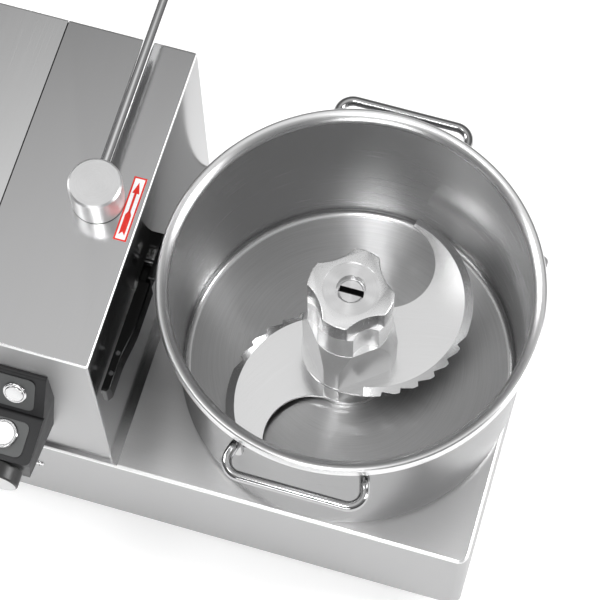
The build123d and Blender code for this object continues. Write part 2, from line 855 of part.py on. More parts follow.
knob_outline = lobed(knob_radius, knob_valley, knob_lobe)
with BuildPart() as lobed_knob:
    with BuildSketch(level(knob_low)):
        add(knob_outline)
    extrude(amount=knob_height)
    fillet(lobed_knob.faces().sort_by(Axis.Z)[-1].edges(), knob_edge)
    with BuildSketch(level(knob_top)):
        Circle(knob_face)
    extrude(amount=-knob_face_depth, mode=Mode.SUBTRACT)
    with BuildSketch(level(knob_top)):
        Circle(knob_bore)
    extrude(amount=-knob_bore_depth, mode=Mode.SUBTRACT)
    with BuildSketch(level(knob_top)):
        Circle(spindle_radius + run_fit)
    extrude(amount=-knob_height, mode=Mode.SUBTRACT)
finish(lobed_knob, "lobed_knob")

# ---------------------------------------------------------------- belt drive
belt_low = pulley_low + pulley_flange + belt_gap
belt_high = pulley_low + pulley_height - pulley_flange - belt_gap
rim_over = belt_gap + belt_thick + 1
pulleys = (
    ("spindle_pulley", 0.0, spindle_pulley_radius, spindle_radius),
    ("motor_pulley", motor_x, motor_pulley_radius, motor_shaft),
)
for pulley_name, pulley_x, pulley_radius, pulley_bore in pulleys:
    with BuildPart() as pulley:
        with BuildSketch(level(pulley_low)):
            with Locations((pulley_x, 0)):
                Circle(pulley_radius)
                Circle(pulley_bore, mode=Mode.SUBTRACT)
        extrude(amount=pulley_height)
        with BuildSketch(level(pulley_low), level(pulley_low + pulley_height - pulley_flange)):
            with Locations((pulley_x, 0)):
                Circle(pulley_radius + rim_over)
                Circle(pulley_bore, mode=Mode.SUBTRACT)
        extrude(amount=pulley_flange)
    finish(pulley, pulley_name)

with BuildPart() as drive_belt:
    with BuildSketch(level(belt_low)):
        Circle(spindle_pulley_radius + belt_gap + belt_thick)
        with Locations((motor_x, 0)):
            Circle(motor_pulley_radius + belt_gap + belt_thick)
        make_hull()
        with BuildSketch(level(belt_low), mode=Mode.SUBTRACT):
            Circle(spindle_pulley_radius + belt_gap)
            with Locations((motor_x, 0)):
                Circle(motor_pulley_radius + belt_gap)
            make_hull()
    extrude(amount=belt_high - belt_low)
finish(drive_belt, "drive_belt")

# ---------------------------------------------------------------- motor
motor_axis = Axis((bowl_x + motor_x, mid_y, 0), (0, 0, 1))
motor_section = Plane(origin=(bowl_x + motor_x, mid_y, 0), x_dir=(1, 0, 0), z_dir=(0, -1, 0))
motor_top = deck_z + motor_height
motor_floor = deck_z + motor_cap
core_low = (motor_floor + motor_top - motor_cap - rotor_height) / 2
with BuildPart() as motor_casing:
    with BuildSketch(motor_section):
        with BuildLine():
            Polyline(
                (motor_bearing, deck_z),
                (motor_radius, deck_z),
                (motor_radius, motor_top),
                (motor_bearing, motor_top),
                (motor_bearing, motor_top - motor_cap),
                (motor_radius - motor_wall, motor_top - motor_cap),
                (motor_radius - motor_wall, motor_floor),
                (motor_bearing, motor_floor),
                close=True,
            )
        make_face()
    revolve(axis=motor_axis)
    with BuildSketch(level(deck_z)):
        with Locations((motor_x, 0)):
            RectangleRounded(2 * motor_flange_half, 2 * motor_flange_half, 10)
            Circle(motor_radius - motor_wall, mode=Mode.SUBTRACT)
        with Locations(*motor_bolt_spots):
            Circle(motor_bolt + run_fit, mode=Mode.SUBTRACT)
    extrude(amount=motor_flange)
finish(motor_casing, "motor_casing")

with BuildPart() as motor_bolts:
    with BuildSketch(level(deck_z + motor_flange)):
        with Locations(*motor_bolt_spots):
            RegularPolygon(1.8 * motor_bolt, 6)
    extrude(amount=1.3 * motor_bolt)
    with BuildSketch(level(deck_z + motor_flange)):
        with Locations(*motor_bolt_spots):
            Circle(motor_bolt)
    extrude(amount=-(motor_flange + base_sheet + 3 * motor_bolt))
    with BuildSketch(level(deck_z - base_sheet)):
        with Locations(*motor_bolt_spots):
            RegularPolygon(1.8 * motor_bolt, 6)
    extrude(amount=-1.6 * motor_bolt)
finish(motor_bolts, "motor_bolts")

with BuildPart() as motor_bearings:
    for ring_low in (deck_z, motor_top - motor_cap):
        with BuildSketch(level(ring_low)):
            with Locations((motor_x, 0)):
                Circle(motor_bearing)
                Circle(motor_shaft + run_fit, mode=Mode.SUBTRACT)
        extrude(amount=motor_cap)
finish(motor_bearings, "motor_bearings")

with BuildPart() as motor_stator:
    with BuildSketch(level(core_low)):
        with Locations((motor_x, 0)):
            Circle(motor_radius - motor_wall)
            Circle(rotor_radius + air_gap, mode=Mode.SUBTRACT)
    extrude(amount=rotor_height)
finish(motor_stator, "motor_stator")

with BuildPart() as motor_rotor:
    with BuildSketch(level(core_low)):
        with Locations((motor_x, 0)):
            Circle(rotor_radius)
            Circle(motor_shaft, mode=Mode.SUBTRACT)
    extrude(amount=rotor_height)
finish(motor_rotor, "motor_rotor")

fan_low = motor_top + 4
with BuildPart() as motor_shaft_part:
    with BuildSketch(level(pulley_low - 2)):
        with Locations((motor_x, 0)):
            Circle(motor_shaft)
    extrude(amount=fan_low + fan_height - pulley_low + 2)
finish(motor_shaft_part, "motor_shaft")

with BuildPart() as motor_fan:
    with BuildSketch(level(fan_low)):
        with Locations((motor_x, 0)):
            Circle(fan_radius)
            Circle(motor_shaft, mode=Mode.SUBTRACT)
    extrude(amount=2)
    with BuildSketch(level(fan_low)):
        with Locations((motor_x, 0)):
            Circle(motor_shaft + 6)
            with PolarLocations((motor_shaft + 2 + fan_radius) / 2, fan_blades):
                Rectangle(fan_radius - motor_shaft - 6, 2)
            Circle(motor_shaft, mode=Mode.SUBTRACT)
    extrude(amount=fan_height)
finish(motor_fan, "motor_fan")

with BuildPart() as drive_inverter:
    with BuildSketch(level(deck_z)):
        with Locations((-drive_box_distance, 0)):
            RectangleRounded(drive_box[0], drive_box[1], 3)
    extrude(amount=drive_box[2])
    with BuildSketch(level(deck_z)):
        with Locations((-drive_box_distance, 0)):
            Rectangle(drive_box[0], drive_box[1] + 24)
    extrude(amount=3)
finish(drive_inverter, "drive_inverter")

# ---------------------------------------------------------------- lid arm
arm_x = bowl_x - arm_offset
arm_y = mid_y + arm_shift
arm_section = Plane(origin=(arm_x, arm_y, 0), x_dir=(1, 0, 0), z_dir=(0, -1, 0))
arm_axis = Axis((arm_x, arm_y, 0), (0, 0, 1))
post_low = housing_z + washer_thick + run_fit
post_top = post_low + post_height
rod_z = post_low + arm_rise
pin_top = post_top - post_roof - 1
with BuildPart() as arm_pivot_pin:
    with BuildSketch(arm_section):
        with BuildLine():
            Polyline(
                (0, inner_top - 3),
                (pivot_flange, inner_top - 3),
                (pivot_flange, inner_top),
                (pivot_radius, inner_top),
                (pivot_radius, pin_top),
                (0, pin_top),
                close=True,
            )
        make_face()
    revolve(axis=arm_axis)
finish(arm_pivot_pin, "arm_pivot_pin")

with BuildPart() as arm_washer:
    with BuildSketch(Plane(origin=(arm_x, arm_y, housing_z), z_dir=(0, 0, 1))):
        Circle(post_radius - 3)
        Circle(pivot_radius, mode=Mode.SUBTRACT)
    extrude(amount=washer_thick)
finish(arm_washer, "arm_washer")

grub_plane = Plane(
    origin=Vector(arm_x, arm_y, post_low + grub_rise)
    + Vector(post_radius - 0.3, 0, 0).rotate(Axis.Z, grub_turn),
    z_dir=Vector(-1, 0, 0).rotate(Axis.Z, grub_turn),
)
rod_plane = Plane(origin=(arm_x, arm_y + post_radius - arm_socket, rod_z), x_dir=(1, 0, 0), z_dir=(0, 1, 0))
with BuildPart() as arm_post:
    with BuildSketch(arm_section):
        with BuildLine():
            Polyline(
                (pivot_radius + run_fit, post_low),
                (post_radius, post_low),
                (post_radius, post_top),
                (0, post_top),
                (0, post_top - post_roof),
                (pivot_radius + run_fit, post_top - post_roof),
                close=True,
            )
        make_face()
    revolve(axis=arm_axis)
    chamfer(arm_post.faces().sort_by(Axis.Z)[-1].edges(), post_edge)
    with BuildSketch(rod_plane):
        Circle(arm_rod)
    extrude(amount=2 * arm_socket, mode=Mode.SUBTRACT)
    with BuildSketch(grub_plane):
        Circle(grub_radius)
    extrude(amount=grub_length, mode=Mode.SUBTRACT)
    with BuildSketch(grub_plane):
        Circle(grub_radius)
    extrude(amount=-2, mode=Mode.SUBTRACT)
finish(arm_post, "arm_post")

with BuildPart() as arm_rod_part:
    with BuildSketch(rod_plane):
        Circle(arm_rod)
    extrude(amount=arm_reach - post_radius + arm_socket)
    fillet(arm_rod_part.faces().sort_by(Axis.Y)[-1].edges(), arm_rod * 0.8)
finish(arm_rod_part, "arm_rod")

with BuildPart() as arm_grub_screw:
    with BuildSketch(grub_plane):
        Circle(grub_radius)
    extrude(amount=grub_length)
    with BuildSketch(grub_plane):
        RegularPolygon(grub_radius * 0.6, 6)
    extrude(amount=grub_radius, mode=Mode.SUBTRACT)
finish(arm_grub_screw, "arm_grub_screw")

label_x = wall_x - label_inset
with BuildPart() as arrow_label:
    with BuildSketch(Plane(origin=(label_x, mid_y + label_shift, housing_z), z_dir=(0, 0, 1))):
        Rectangle(label_width, label_length)
    extrude(amount=label_thick)
finish(arrow_label, "arrow_label")

# ---------------------------------------------------------------- side lever
lever_z = rim_z - lever_drop
pivot_y = mid_y - lever_pivot
cheek_out = bracket_sheet + lever_tongue + 2 * slide_fit + bracket_cheek
lever_in = bracket_sheet + slide_fit
lever_low = lever_z - lever_height / 2


def on_wall(distance):
    """Upright plane facing +X, a distance out from the housing's wall, at the lever's pivot."""
    return Plane(origin=(wall_x + distance, pivot_y, lever_z), x_dir=(0, 1, 0), z_dir=(1, 0, 0))


block_span = bracket_block_front + bracket_block_rear
block_mid = lever_pivot + (bracket_block_rear - bracket_block_front) / 2
with BuildPart() as lever_bracket:
    with BuildSketch(on_wall(0)):
        with Locations((block_mid, 0)):
            RectangleRounded(block_span, lever_height, 2)
    extrude(amount=cheek_out)
    fillet(lever_bracket.faces().sort_by(Axis.X)[-1].edges(), 2)
    plate_rear = lever_pivot + bracket_block_rear
    with BuildSketch(on_wall(0)):
        with Locations(((plate_rear - lever_hub) / 2, 0)):
            RectangleRounded(plate_rear + lever_hub, lever_height, 2)
    extrude(amount=bracket_sheet)
    with BuildSketch(on_wall(cheek_out - bracket_cheek)):
        with Locations((block_mid / 2, 0)):
            Rectangle(block_mid, 2 * bracket_cheek_half)
        Circle(bracket_cheek_half)
    extrude(amount=bracket_cheek)
    with BuildSketch(on_wall(0)):
        with Locations((0, 0), (lever_stop, 0)):
            Circle(lever_pin)
    extrude(amount=2 * cheek_out, mode=Mode.SUBTRACT)
finish(lever_bracket, "lever_bracket")

with BuildPart() as lever_pins:
    with BuildSketch(on_wall(0)):
        with Locations((0, 0), (lever_stop, 0)):
            Circle(lever_pin)
    extrude(amount=cheek_out + lever_pin_rise)
finish(lever_pins, "lever_pins")

lever_out = lever_in + lever_thick
tip_out = lever_in + lever_tip_thick
thin_from = lever_start + lever_step + lever_step_run
with BuildPart() as side_lever:
    with BuildSketch(Plane(origin=(wall_x, pivot_y, lever_low), z_dir=(0, 0, 1))):
        with BuildLine():
            Line((lever_in, -lever_start), (lever_out, -lever_start))
            Line((lever_out, -lever_start), (lever_out, -lever_start - lever_step))
            Spline(
                (lever_out, -lever_start - lever_step),
                (tip_out, -thin_from),
                tangents=[(0, -1), (0, -1)],
            )
            Line((tip_out, -thin_from), (tip_out, -lever_reach + 4))
            Line((tip_out, -lever_reach + 4), (tip_out - 2.5, -lever_reach))
            Line((tip_out - 2.5, -lever_reach), (lever_in, -lever_reach))
            Line((lever_in, -lever_reach), (lever_in, -lever_start))
        make_face()
    extrude(amount=lever_height)
    outer_edges = side_lever.faces().filter_by(Axis.Z).edges().sort_by(Axis.X)
    fillet([edge for edge in outer_edges if edge.center().X > wall_x + lever_in + 1], lever_edge)
    with BuildSketch(on_wall(lever_in)):
        Circle(lever_hub)
        with Locations((-lever_start, 0)):
            Rectangle(2 * lever_start, 2 * lever_hub)
    extrude(amount=lever_tongue)
    with BuildSketch(on_wall(0)):
        Circle(lever_pin + run_fit)
    extrude(amount=2 * cheek_out, mode=Mode.SUBTRACT)
    lever_mid_x = wall_x + (lever_in + tip_out) / 2
    with BuildSketch(Plane(origin=(lever_mid_x, pivot_y, lever_low + lever_height), z_dir=(0, 0, 1))):
        with Locations(*[(0, -spot) for spot in lever_screw_at]):
            Circle(screw_shank)
    extrude(amount=-screw_length, mode=Mode.SUBTRACT)
finish(side_lever, "side_lever")

with BuildPart() as lever_screws:
    with BuildSketch(Plane(origin=(lever_mid_x, pivot_y, lever_low + lever_height - 0.8), z_dir=(0, 0, 1))):
        with Locations(*[(0, -spot) for spot in lever_screw_at]):
            Circle(screw_shank)
    extrude(amount=-screw_length + 0.8)
finish(lever_screws, "lever_screws")

# ---------------------------------------------------------------- console
console_x = bowl_x - console_centre
console_section = Plane(origin=(console_x, front_y, rim_z), x_dir=(0, 1, 0), z_dir=(1, 0, 0))
upper_start = Vector(-console_ledge, console_rise)
upper_end = Vector(-console_knee, -console_knee_drop)
shelf_start = Vector(-console_knee - console_groove, -console_knee_drop - console_groove)
shelf_end = Vector(-console_reach, -console_lip_drop)
console_front = console_reach - console_lip_over


def facet(start, end):
    """Plane lying on a console face that runs between two points of its side profile."""
    run = end - start
    middle = (start + end) / 2
    return Plane(
        origin=(console_x, front_y + middle.X, rim_z + middle.Y),
        x_dir=(1, 0, 0),
        z_dir=(0, run.Y, -run.X),
    )


upper_plane = facet(upper_start, upper_end)
shelf_plane = facet(shelf_start, shelf_end)
upper_length = (upper_end - upper_start).length
shelf_length = (shelf_end - shelf_start).length
knob_z = rim_z - speed_knob_drop
front_plane = Plane(origin=(console_x, front_y - console_front, knob_z), x_dir=(1, 0, 0), z_dir=(0, -1, 0))

with BuildSketch() as console_profile:
    with BuildLine():
        Polyline(
            (0, console_rise),
            upper_start,
            upper_end,
            (-console_knee + console_groove / 2, -console_knee_drop - 1.5 * console_groove),
            shelf_start,
            shelf_end,
            (-console_reach, -console_lip_drop - console_lip),
            (-console_front, -console_lip_drop - console_lip - console_lip_over),
            (-console_front, -console_front_drop),
            (0, -console_foot_drop),
            close=True,
        )
    make_face()
with BuildSketch() as console_face:
    with BuildLine():
        Polyline(
            (-console_half, console_rise),
            (console_half, console_rise),
            (console_half, -console_lip_drop - console_lip),
            (console_half - console_taper, -console_foot_drop),
            (-console_half + console_taper, -console_foot_drop),
            (-console_half, -console_lip_drop - console_lip),
            close=True,
        )
    make_face()

face_plane = Plane(origin=(console_x, front_y, rim_z), x_dir=(1, 0, 0), z_dir=(0, -1, 0))
with BuildPart() as console_core:
    with BuildSketch(console_section):
        add(offset(console_profile.sketch, -console_wall, kind=Kind.INTERSECTION, mode=Mode.PRIVATE))
    extrude(amount=console_half, both=True)
    with BuildSketch(face_plane):
        add(offset(console_face.sketch, -console_wall, kind=Kind.INTERSECTION, mode=Mode.PRIVATE))
    extrude(amount=console_reach, mode=Mode.INTERSECT)

with BuildPart() as console_body:
    with BuildSketch(console_section):
        add(console_profile.sketch)
    extrude(amount=console_half, both=True)
    upright = console_body.edges().filter_by(Axis.X).group_by(Axis.Z)[-1]
    fillet(upright.sort_by(Axis.Y)[0], console_ledge - 0.5)
    with BuildSketch(face_plane):
        add(console_face.sketch)
    extrude(amount=console_reach, mode=Mode.INTERSECT)
    with BuildSketch(Plane(origin=(console_x, front_y, rim_z + console_rise), z_dir=(0, 0, 1))):
        RectangleRounded(2 * console_half, 2 * console_reach, console_corner)
    extrude(amount=-console_rise - console_foot_drop, mode=Mode.INTERSECT)
    add(console_core.part, mode=Mode.SUBTRACT)
    with BuildSketch(upper_plane):
        with Locations(stop_at):
            Circle(stop_button_radius + slide_fit + barrel_wall)
    extrude(amount=-2 * console_wall, mode=Mode.SUBTRACT)
    with BuildSketch(shelf_plane):
        with Locations(start_at):
            Circle(start_button_radius + slide_fit + barrel_wall)
    extrude(amount=-2 * console_wall, mode=Mode.SUBTRACT)
    with BuildSketch(front_plane):
        Circle(speed_bush)
    extrude(amount=-2 * console_wall, mode=Mode.SUBTRACT)
    with BuildSketch(face_plane):
        with Locations((0, -console_window[1] / 2)):
            RectangleRounded(*console_window, console_wall)
    extrude(amount=console_wall, mode=Mode.SUBTRACT)
finish(console_body, "console_body")

inlays = (
    ("console_upper_plate", upper_plane, upper_length, stop_at, stop_button_radius),
    ("console_lower_plate", shelf_plane, shelf_length, start_at, start_button_radius),
)
for inlay_name, inlay_plane, inlay_length, hole_at, hole_radius in inlays:
    with BuildPart() as inlay:
        with BuildSketch(inlay_plane):
            RectangleRounded(
                2 * (console_half - plate_margin),
                inlay_length - 2 * plate_edge_margin,
                plate_corner,
            )
            with Locations(hole_at):
                Circle(hole_radius + slide_fit + barrel_wall, mode=Mode.SUBTRACT)
        extrude(amount=plate_thick)
    finish(inlay, inlay_name)

switches = (
    ("stop", upper_plane, stop_at, stop_button_radius, stop_head),
    ("start", shelf_plane, start_at, start_button_radius, start_head),
)
for switch_name, switch_plane, switch_at, cap_radius, head_radius in switches:
    press_axis = Axis(switch_plane.origin, switch_plane.z_dir)
    with BuildPart() as bezel:
        with BuildSketch(switch_plane.offset(-barrel_depth)):
            with Locations(switch_at):
                Circle(cap_radius + slide_fit + barrel_wall)
                Circle(cap_radius + slide_fit, mode=Mode.SUBTRACT)
        extrude(amount=barrel_depth + plate_thick)
        with BuildSketch(switch_plane.offset(-barrel_depth)):
            with Locations(switch_at):
                Circle(cap_radius + slide_fit + barrel_wall)
        extrude(amount=barrel_wall)
        with BuildSketch(switch_plane.offset(plate_thick)):
            with Locations(switch_at):
                Circle(head_radius)
                Circle(cap_radius + slide_fit, mode=Mode.SUBTRACT)
        extrude(amount=head_rise)
        outer_edge = bezel.faces().sort_by(press_axis)[-1].edges().sort_by(SortBy.LENGTH)[-1]
        chamfer(outer_edge, 0.8)
    finish(bezel, f"{switch_name}_bezel")
    with BuildPart() as button:
        with BuildSketch(switch_plane.offset(plate_thick + head_rise - 4)):
            with Locations(switch_at):
                Circle(cap_radius)
        extrude(amount=4 + button_rise - head_rise)
        fillet(button.faces().sort_by(press_axis)[-1].edges(), 0.5)
        with BuildSketch(switch_plane.offset(plate_thick + head_rise - 4)):
            with Locations(switch_at):
                Circle(cap_radius / 2)
        extrude(amount=-(barrel_depth - barrel_wall - button_travel - 1 - 4 + plate_thick + head_rise))
    finish(button, f"{switch_name}_button")

bush_face = slide_fit + console_lip_over
with BuildPart() as speed_potentiometer:
    with BuildSketch(front_plane.offset(-console_wall)):
        Circle(speed_body_radius)
        Circle(speed_shaft_radius + run_fit, mode=Mode.SUBTRACT)
    extrude(amount=-speed_body_length)
    with BuildSketch(front_plane.offset(-console_wall)):
        Circle(speed_bush)
        Circle(speed_shaft_radius + run_fit, mode=Mode.SUBTRACT)
    extrude(amount=console_wall + bush_face - slide_fit)
finish(speed_potentiometer, "speed_potentiometer")

with BuildPart() as speed_shaft:
    with BuildSketch(front_plane.offset(-console_wall - speed_body_length + 2)):
        Circle(speed_shaft_radius)
    extrude(amount=console_wall + speed_body_length - 2 + bush_face + speed_knob_length / 2)
finish(speed_shaft, "speed_shaft")

knob_plane = front_plane.offset(bush_face)
pointer_at = speed_knob_radius - pointer_depth / 2
with BuildPart() as speed_knob:
    with BuildSketch(knob_plane):
        Circle(speed_knob_radius)
    extrude(amount=speed_knob_length)
    chamfer(speed_knob.faces().sort_by(Axis.Y)[0].edges(), speed_knob_edge)
    with BuildSketch(knob_plane):
        Circle(speed_shaft_radius)
    extrude(amount=speed_knob_length / 2, mode=Mode.SUBTRACT)
    with BuildSketch(knob_plane):
        with Locations((0, pointer_at + pointer_depth / 2)):
            Rectangle(pointer_width, 2 * pointer_depth)
    extrude(amount=speed_knob_length - speed_knob_edge, mode=Mode.SUBTRACT)
finish(speed_knob, "speed_knob")

with BuildPart() as speed_pointer:
    with BuildSketch(knob_plane):
        with Locations((0, pointer_at)):
            Rectangle(pointer_width, pointer_depth)
    extrude(amount=speed_knob_length - speed_knob_edge)
    with BuildSketch(knob_plane):
        Circle(speed_knob_radius - 0.05)
    extrude(amount=speed_knob_length, mode=Mode.INTERSECT)
finish(speed_pointer, "speed_pointer")

# ---------------------------------------------------------------- cable gland
gland_plane = Plane(origin=(gland_x, base_rear, gland_z), z_dir=(0, 1, 0))
with BuildPart() as cable_gland:
    with BuildSketch(gland_plane):
        RegularPolygon(gland_radius, 6)
    extrude(amount=gland_height / 2)
    with BuildSketch(gland_plane.offset(gland_height / 2)):
        Circle(gland_radius * 0.82)
    extrude(amount=gland_height / 2)
    fillet(cable_gland.faces().sort_by(Axis.Y)[-1].edges(), 2)
    with BuildSketch(gland_plane):
        Circle(gland_thread)
    extrude(amount=-base_sheet - gland_nut)
    with BuildSketch(gland_plane.offset(-base_sheet)):
        RegularPolygon(gland_radius, 6)
    extrude(amount=-gland_nut)
    with BuildSketch(gland_plane.offset(-2 * gland_height)):
        Circle(gland_bore)
    extrude(amount=4 * gland_height, mode=Mode.SUBTRACT)
finish(cable_gland, "cable_gland")
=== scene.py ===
"""Dresses the table-top bowl cutter: meshes, finishes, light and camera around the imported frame."""

import logging
import math
from collections.abc import Callable, Iterable, Sequence
from dataclasses import dataclass
from enum import Enum
from functools import cache

import bmesh
import bpy
from bpy.types import Material, Mesh, MeshPolygon, Node, NodeSocket, NodeTree, Object
from mathutils import Matrix, Vector

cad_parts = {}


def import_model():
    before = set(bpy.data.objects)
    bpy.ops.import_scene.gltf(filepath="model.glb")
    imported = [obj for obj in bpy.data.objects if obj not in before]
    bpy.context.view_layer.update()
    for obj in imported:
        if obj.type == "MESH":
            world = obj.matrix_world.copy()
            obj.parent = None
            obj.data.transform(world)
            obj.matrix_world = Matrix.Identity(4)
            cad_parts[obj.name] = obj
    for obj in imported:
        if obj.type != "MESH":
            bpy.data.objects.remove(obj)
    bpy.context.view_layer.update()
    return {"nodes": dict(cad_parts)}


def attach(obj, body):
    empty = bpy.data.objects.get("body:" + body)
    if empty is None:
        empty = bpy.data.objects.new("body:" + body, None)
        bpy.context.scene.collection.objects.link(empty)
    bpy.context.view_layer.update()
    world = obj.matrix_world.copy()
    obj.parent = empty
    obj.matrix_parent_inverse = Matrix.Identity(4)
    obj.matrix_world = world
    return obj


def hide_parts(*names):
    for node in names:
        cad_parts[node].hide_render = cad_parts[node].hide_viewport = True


Pair = tuple[float, float]
Triple = tuple[float, float, float]

LOG = logging.getLogger("bowl_cutter")
MM = 0.001

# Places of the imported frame, in millimetres.
BOWL_X = 101.75
MID_Y = 7.5
RIM_Z = 316.2
DECK_Z = 148.0
HOUSING_HEIGHT = 217.5

# The bodies that carry more than a few pieces.
MACHINE = "machine"
HEAD = "cutting_head"

# Scales of the metal's patterns, per metre, and the share of the lines in them.
FINE_SCALE = 2600.0
SLOW_SCALE = 14.0
ROUND_SCALE = 2.5
CLOUD_SCALE = 9.0
LINE_SHARE = 0.75

# The range that most of a noise texture's values lie in.
NOISE_LOW = 0.3
NOISE_HIGH = 0.7

# Least upward parts of the normals of level faces and of folds.
LEVEL = 0.9
FOLDED = 0.25


class Grain(Enum):
    """The way a metal surface was finished."""

    ALONG_X = "x"
    ALONG_Y = "y"
    ALONG_Z = "z"
    TURNED = "turned"
    BLASTED = "blasted"


# Each straight grain leans a little, so that it is square to no face.
STRAIGHT = {
    Grain.ALONG_X: (1.0, 0.02, 0.03),
    Grain.ALONG_Y: (0.02, 1.0, 0.03),
    Grain.ALONG_Z: (0.02, 0.03, 1.0),
}


class Tree:
    """Adds and joins the shader nodes of one material."""

    def __init__(self, name: str) -> None:
        """Start an empty material with a Principled shader.

        Args:
            name: The material's name.
        """
        self.material = bpy.data.materials.new(name)
        self.material.use_nodes = True
        self.nodes = self.material.node_tree.nodes
        self.links = self.material.node_tree.links
        self.shader = self.nodes["Principled BSDF"]

    def add(self, kind: str, inputs: dict[int | str, object] | None = None, **settings: object) -> Node:
        """Add a node, set its plain properties and feed its inputs.

        Args:
            kind: The node's type name.
            inputs: A socket or a value for each input, by its name or place.
            **settings: Properties to set on the node.

        Returns:
            The new node.
        """
        node = self.nodes.new(kind)
        for key, value in settings.items():
            setattr(node, key, value)
        for key, value in (inputs or {}).items():
            if isinstance(value, NodeSocket):
                self.links.new(value, node.inputs[key])
            else:
                node.inputs[key].default_value = value
        return node

    def join(self, socket: NodeSocket, name: str) -> None:
        """Link a socket to an input of the shader."""
        self.links.new(socket, self.shader.inputs[name])

    def fix(self, **values: object) -> None:
        """Set inputs of the shader, named with _ for each space."""
        for name, value in values.items():
            self.shader.inputs[name.replace("_", " ")].default_value = value

    def maths(self, operation: str, first: object, second: object = 0.0) -> NodeSocket:
        """Add a maths node and return its result."""
        return self.add("ShaderNodeMath", {0: first, 1: second}, operation=operation).outputs[0]

    def vectors(self, operation: str, first: object, second: object = (0.0, 0.0, 0.0)) -> NodeSocket:
        """Add a vector maths node and return its result."""
        return self.add("ShaderNodeVectorMath", {0: first, 1: second}, operation=operation).outputs[0]

    def place(self) -> NodeSocket:
        """Return the Object coordinate socket."""
        return self.add("ShaderNodeTexCoord").outputs["Object"]

    def stretched(self, scale: Sequence[float], centre: Sequence[float] = (0, 0, 0)) -> NodeSocket:
        """Move and scale the Object coordinates.

        Args:
            scale: Scale along X, Y and Z.
            centre: Point that becomes the pattern's origin, in metres.

        Returns:
            The vector socket.
        """
        shift = [-c * s for c, s in zip(centre, scale)]
        inputs = {"Vector": self.place(), "Scale": scale, "Location": shift}
        return self.add("ShaderNodeMapping", inputs).outputs["Vector"]

    def polar(self, centre: Sequence[float], across: float, around: float) -> NodeSocket:
        """Lay coordinates along circles about an upright axis.

        Args:
            centre: The axis' X and Y, in metres.
            across: Scale along the radius and along Z.
            around: Scale of the angle.

        Returns:
            The vector socket.
        """
        x, y, z = self.add("ShaderNodeSeparateXYZ", {0: self.stretched((1, 1, 1), (*centre, 0))}).outputs
        squares = self.maths("ADD", self.maths("MULTIPLY", x, x), self.maths("MULTIPLY", y, y))
        parts = ((self.maths("SQRT", squares), across), (self.maths("ARCTAN2", y, x), around), (z, across))
        scaled = {k: self.maths("MULTIPLY", value, scale) for k, (value, scale) in enumerate(parts)}
        return self.add("ShaderNodeCombineXYZ", scaled).outputs[0]

    def grain(self, grain: Grain, centre: Sequence[float]) -> NodeSocket:
        """Find the direction in which the grain runs at each point.

        Args:
            grain: The grain's kind.
            centre: The axis of a turned grain, in metres.

        Returns:
            The direction in world space.
        """
        if grain is Grain.TURNED:
            spoke = self.vectors("SUBTRACT", self.place(), (*centre, 0.0))
            along = self.vectors("CROSS_PRODUCT", (0.0, 0.0, 1.0), spoke)
        else:
            along = STRAIGHT[grain]
        spaces = {"vector_type": "VECTOR", "convert_from": "OBJECT", "convert_to": "WORLD"}
        turn = self.add("ShaderNodeVectorTransform", {0: along}, **spaces)
        return self.vectors("NORMALIZE", turn.outputs[0])

    def noise(self, vector: NodeSocket, scale: float, detail: float = 2.0) -> NodeSocket:
        """Add a noise texture and return its factor."""
        inputs = {"Vector": vector, "Scale": scale, "Detail": detail}
        return self.add("ShaderNodeTexNoise", inputs).outputs["Fac"]

    def spread(self, value: NodeSocket, low: float, high: float) -> NodeSocket:
        """Map a noise value to a range between two ends."""
        inputs = {"From Min": NOISE_LOW, "From Max": NOISE_HIGH, "To Min": low, "To Max": high}
        return self.add("ShaderNodeMapRange", {"Value": value} | inputs).outputs["Result"]

    def tint(self, value: NodeSocket, dark: Sequence[float], light: Sequence[float]) -> None:
        """Colour the surface from a dark to a light tone by a value."""
        inputs = {"Factor": value, "A": (*dark, 1), "B": (*light, 1)}
        self.join(self.add("ShaderNodeMix", inputs, data_type="RGBA").outputs["Result"], "Base Color")

    def relief(self, height: NodeSocket, depth: float) -> None:
        """Give the surface a fine relief, with its depth in metres."""
        inputs = {"Height": height, "Distance": depth, "Strength": 1.0}
        self.join(self.add("ShaderNodeBump", inputs).outputs["Normal"], "Normal")


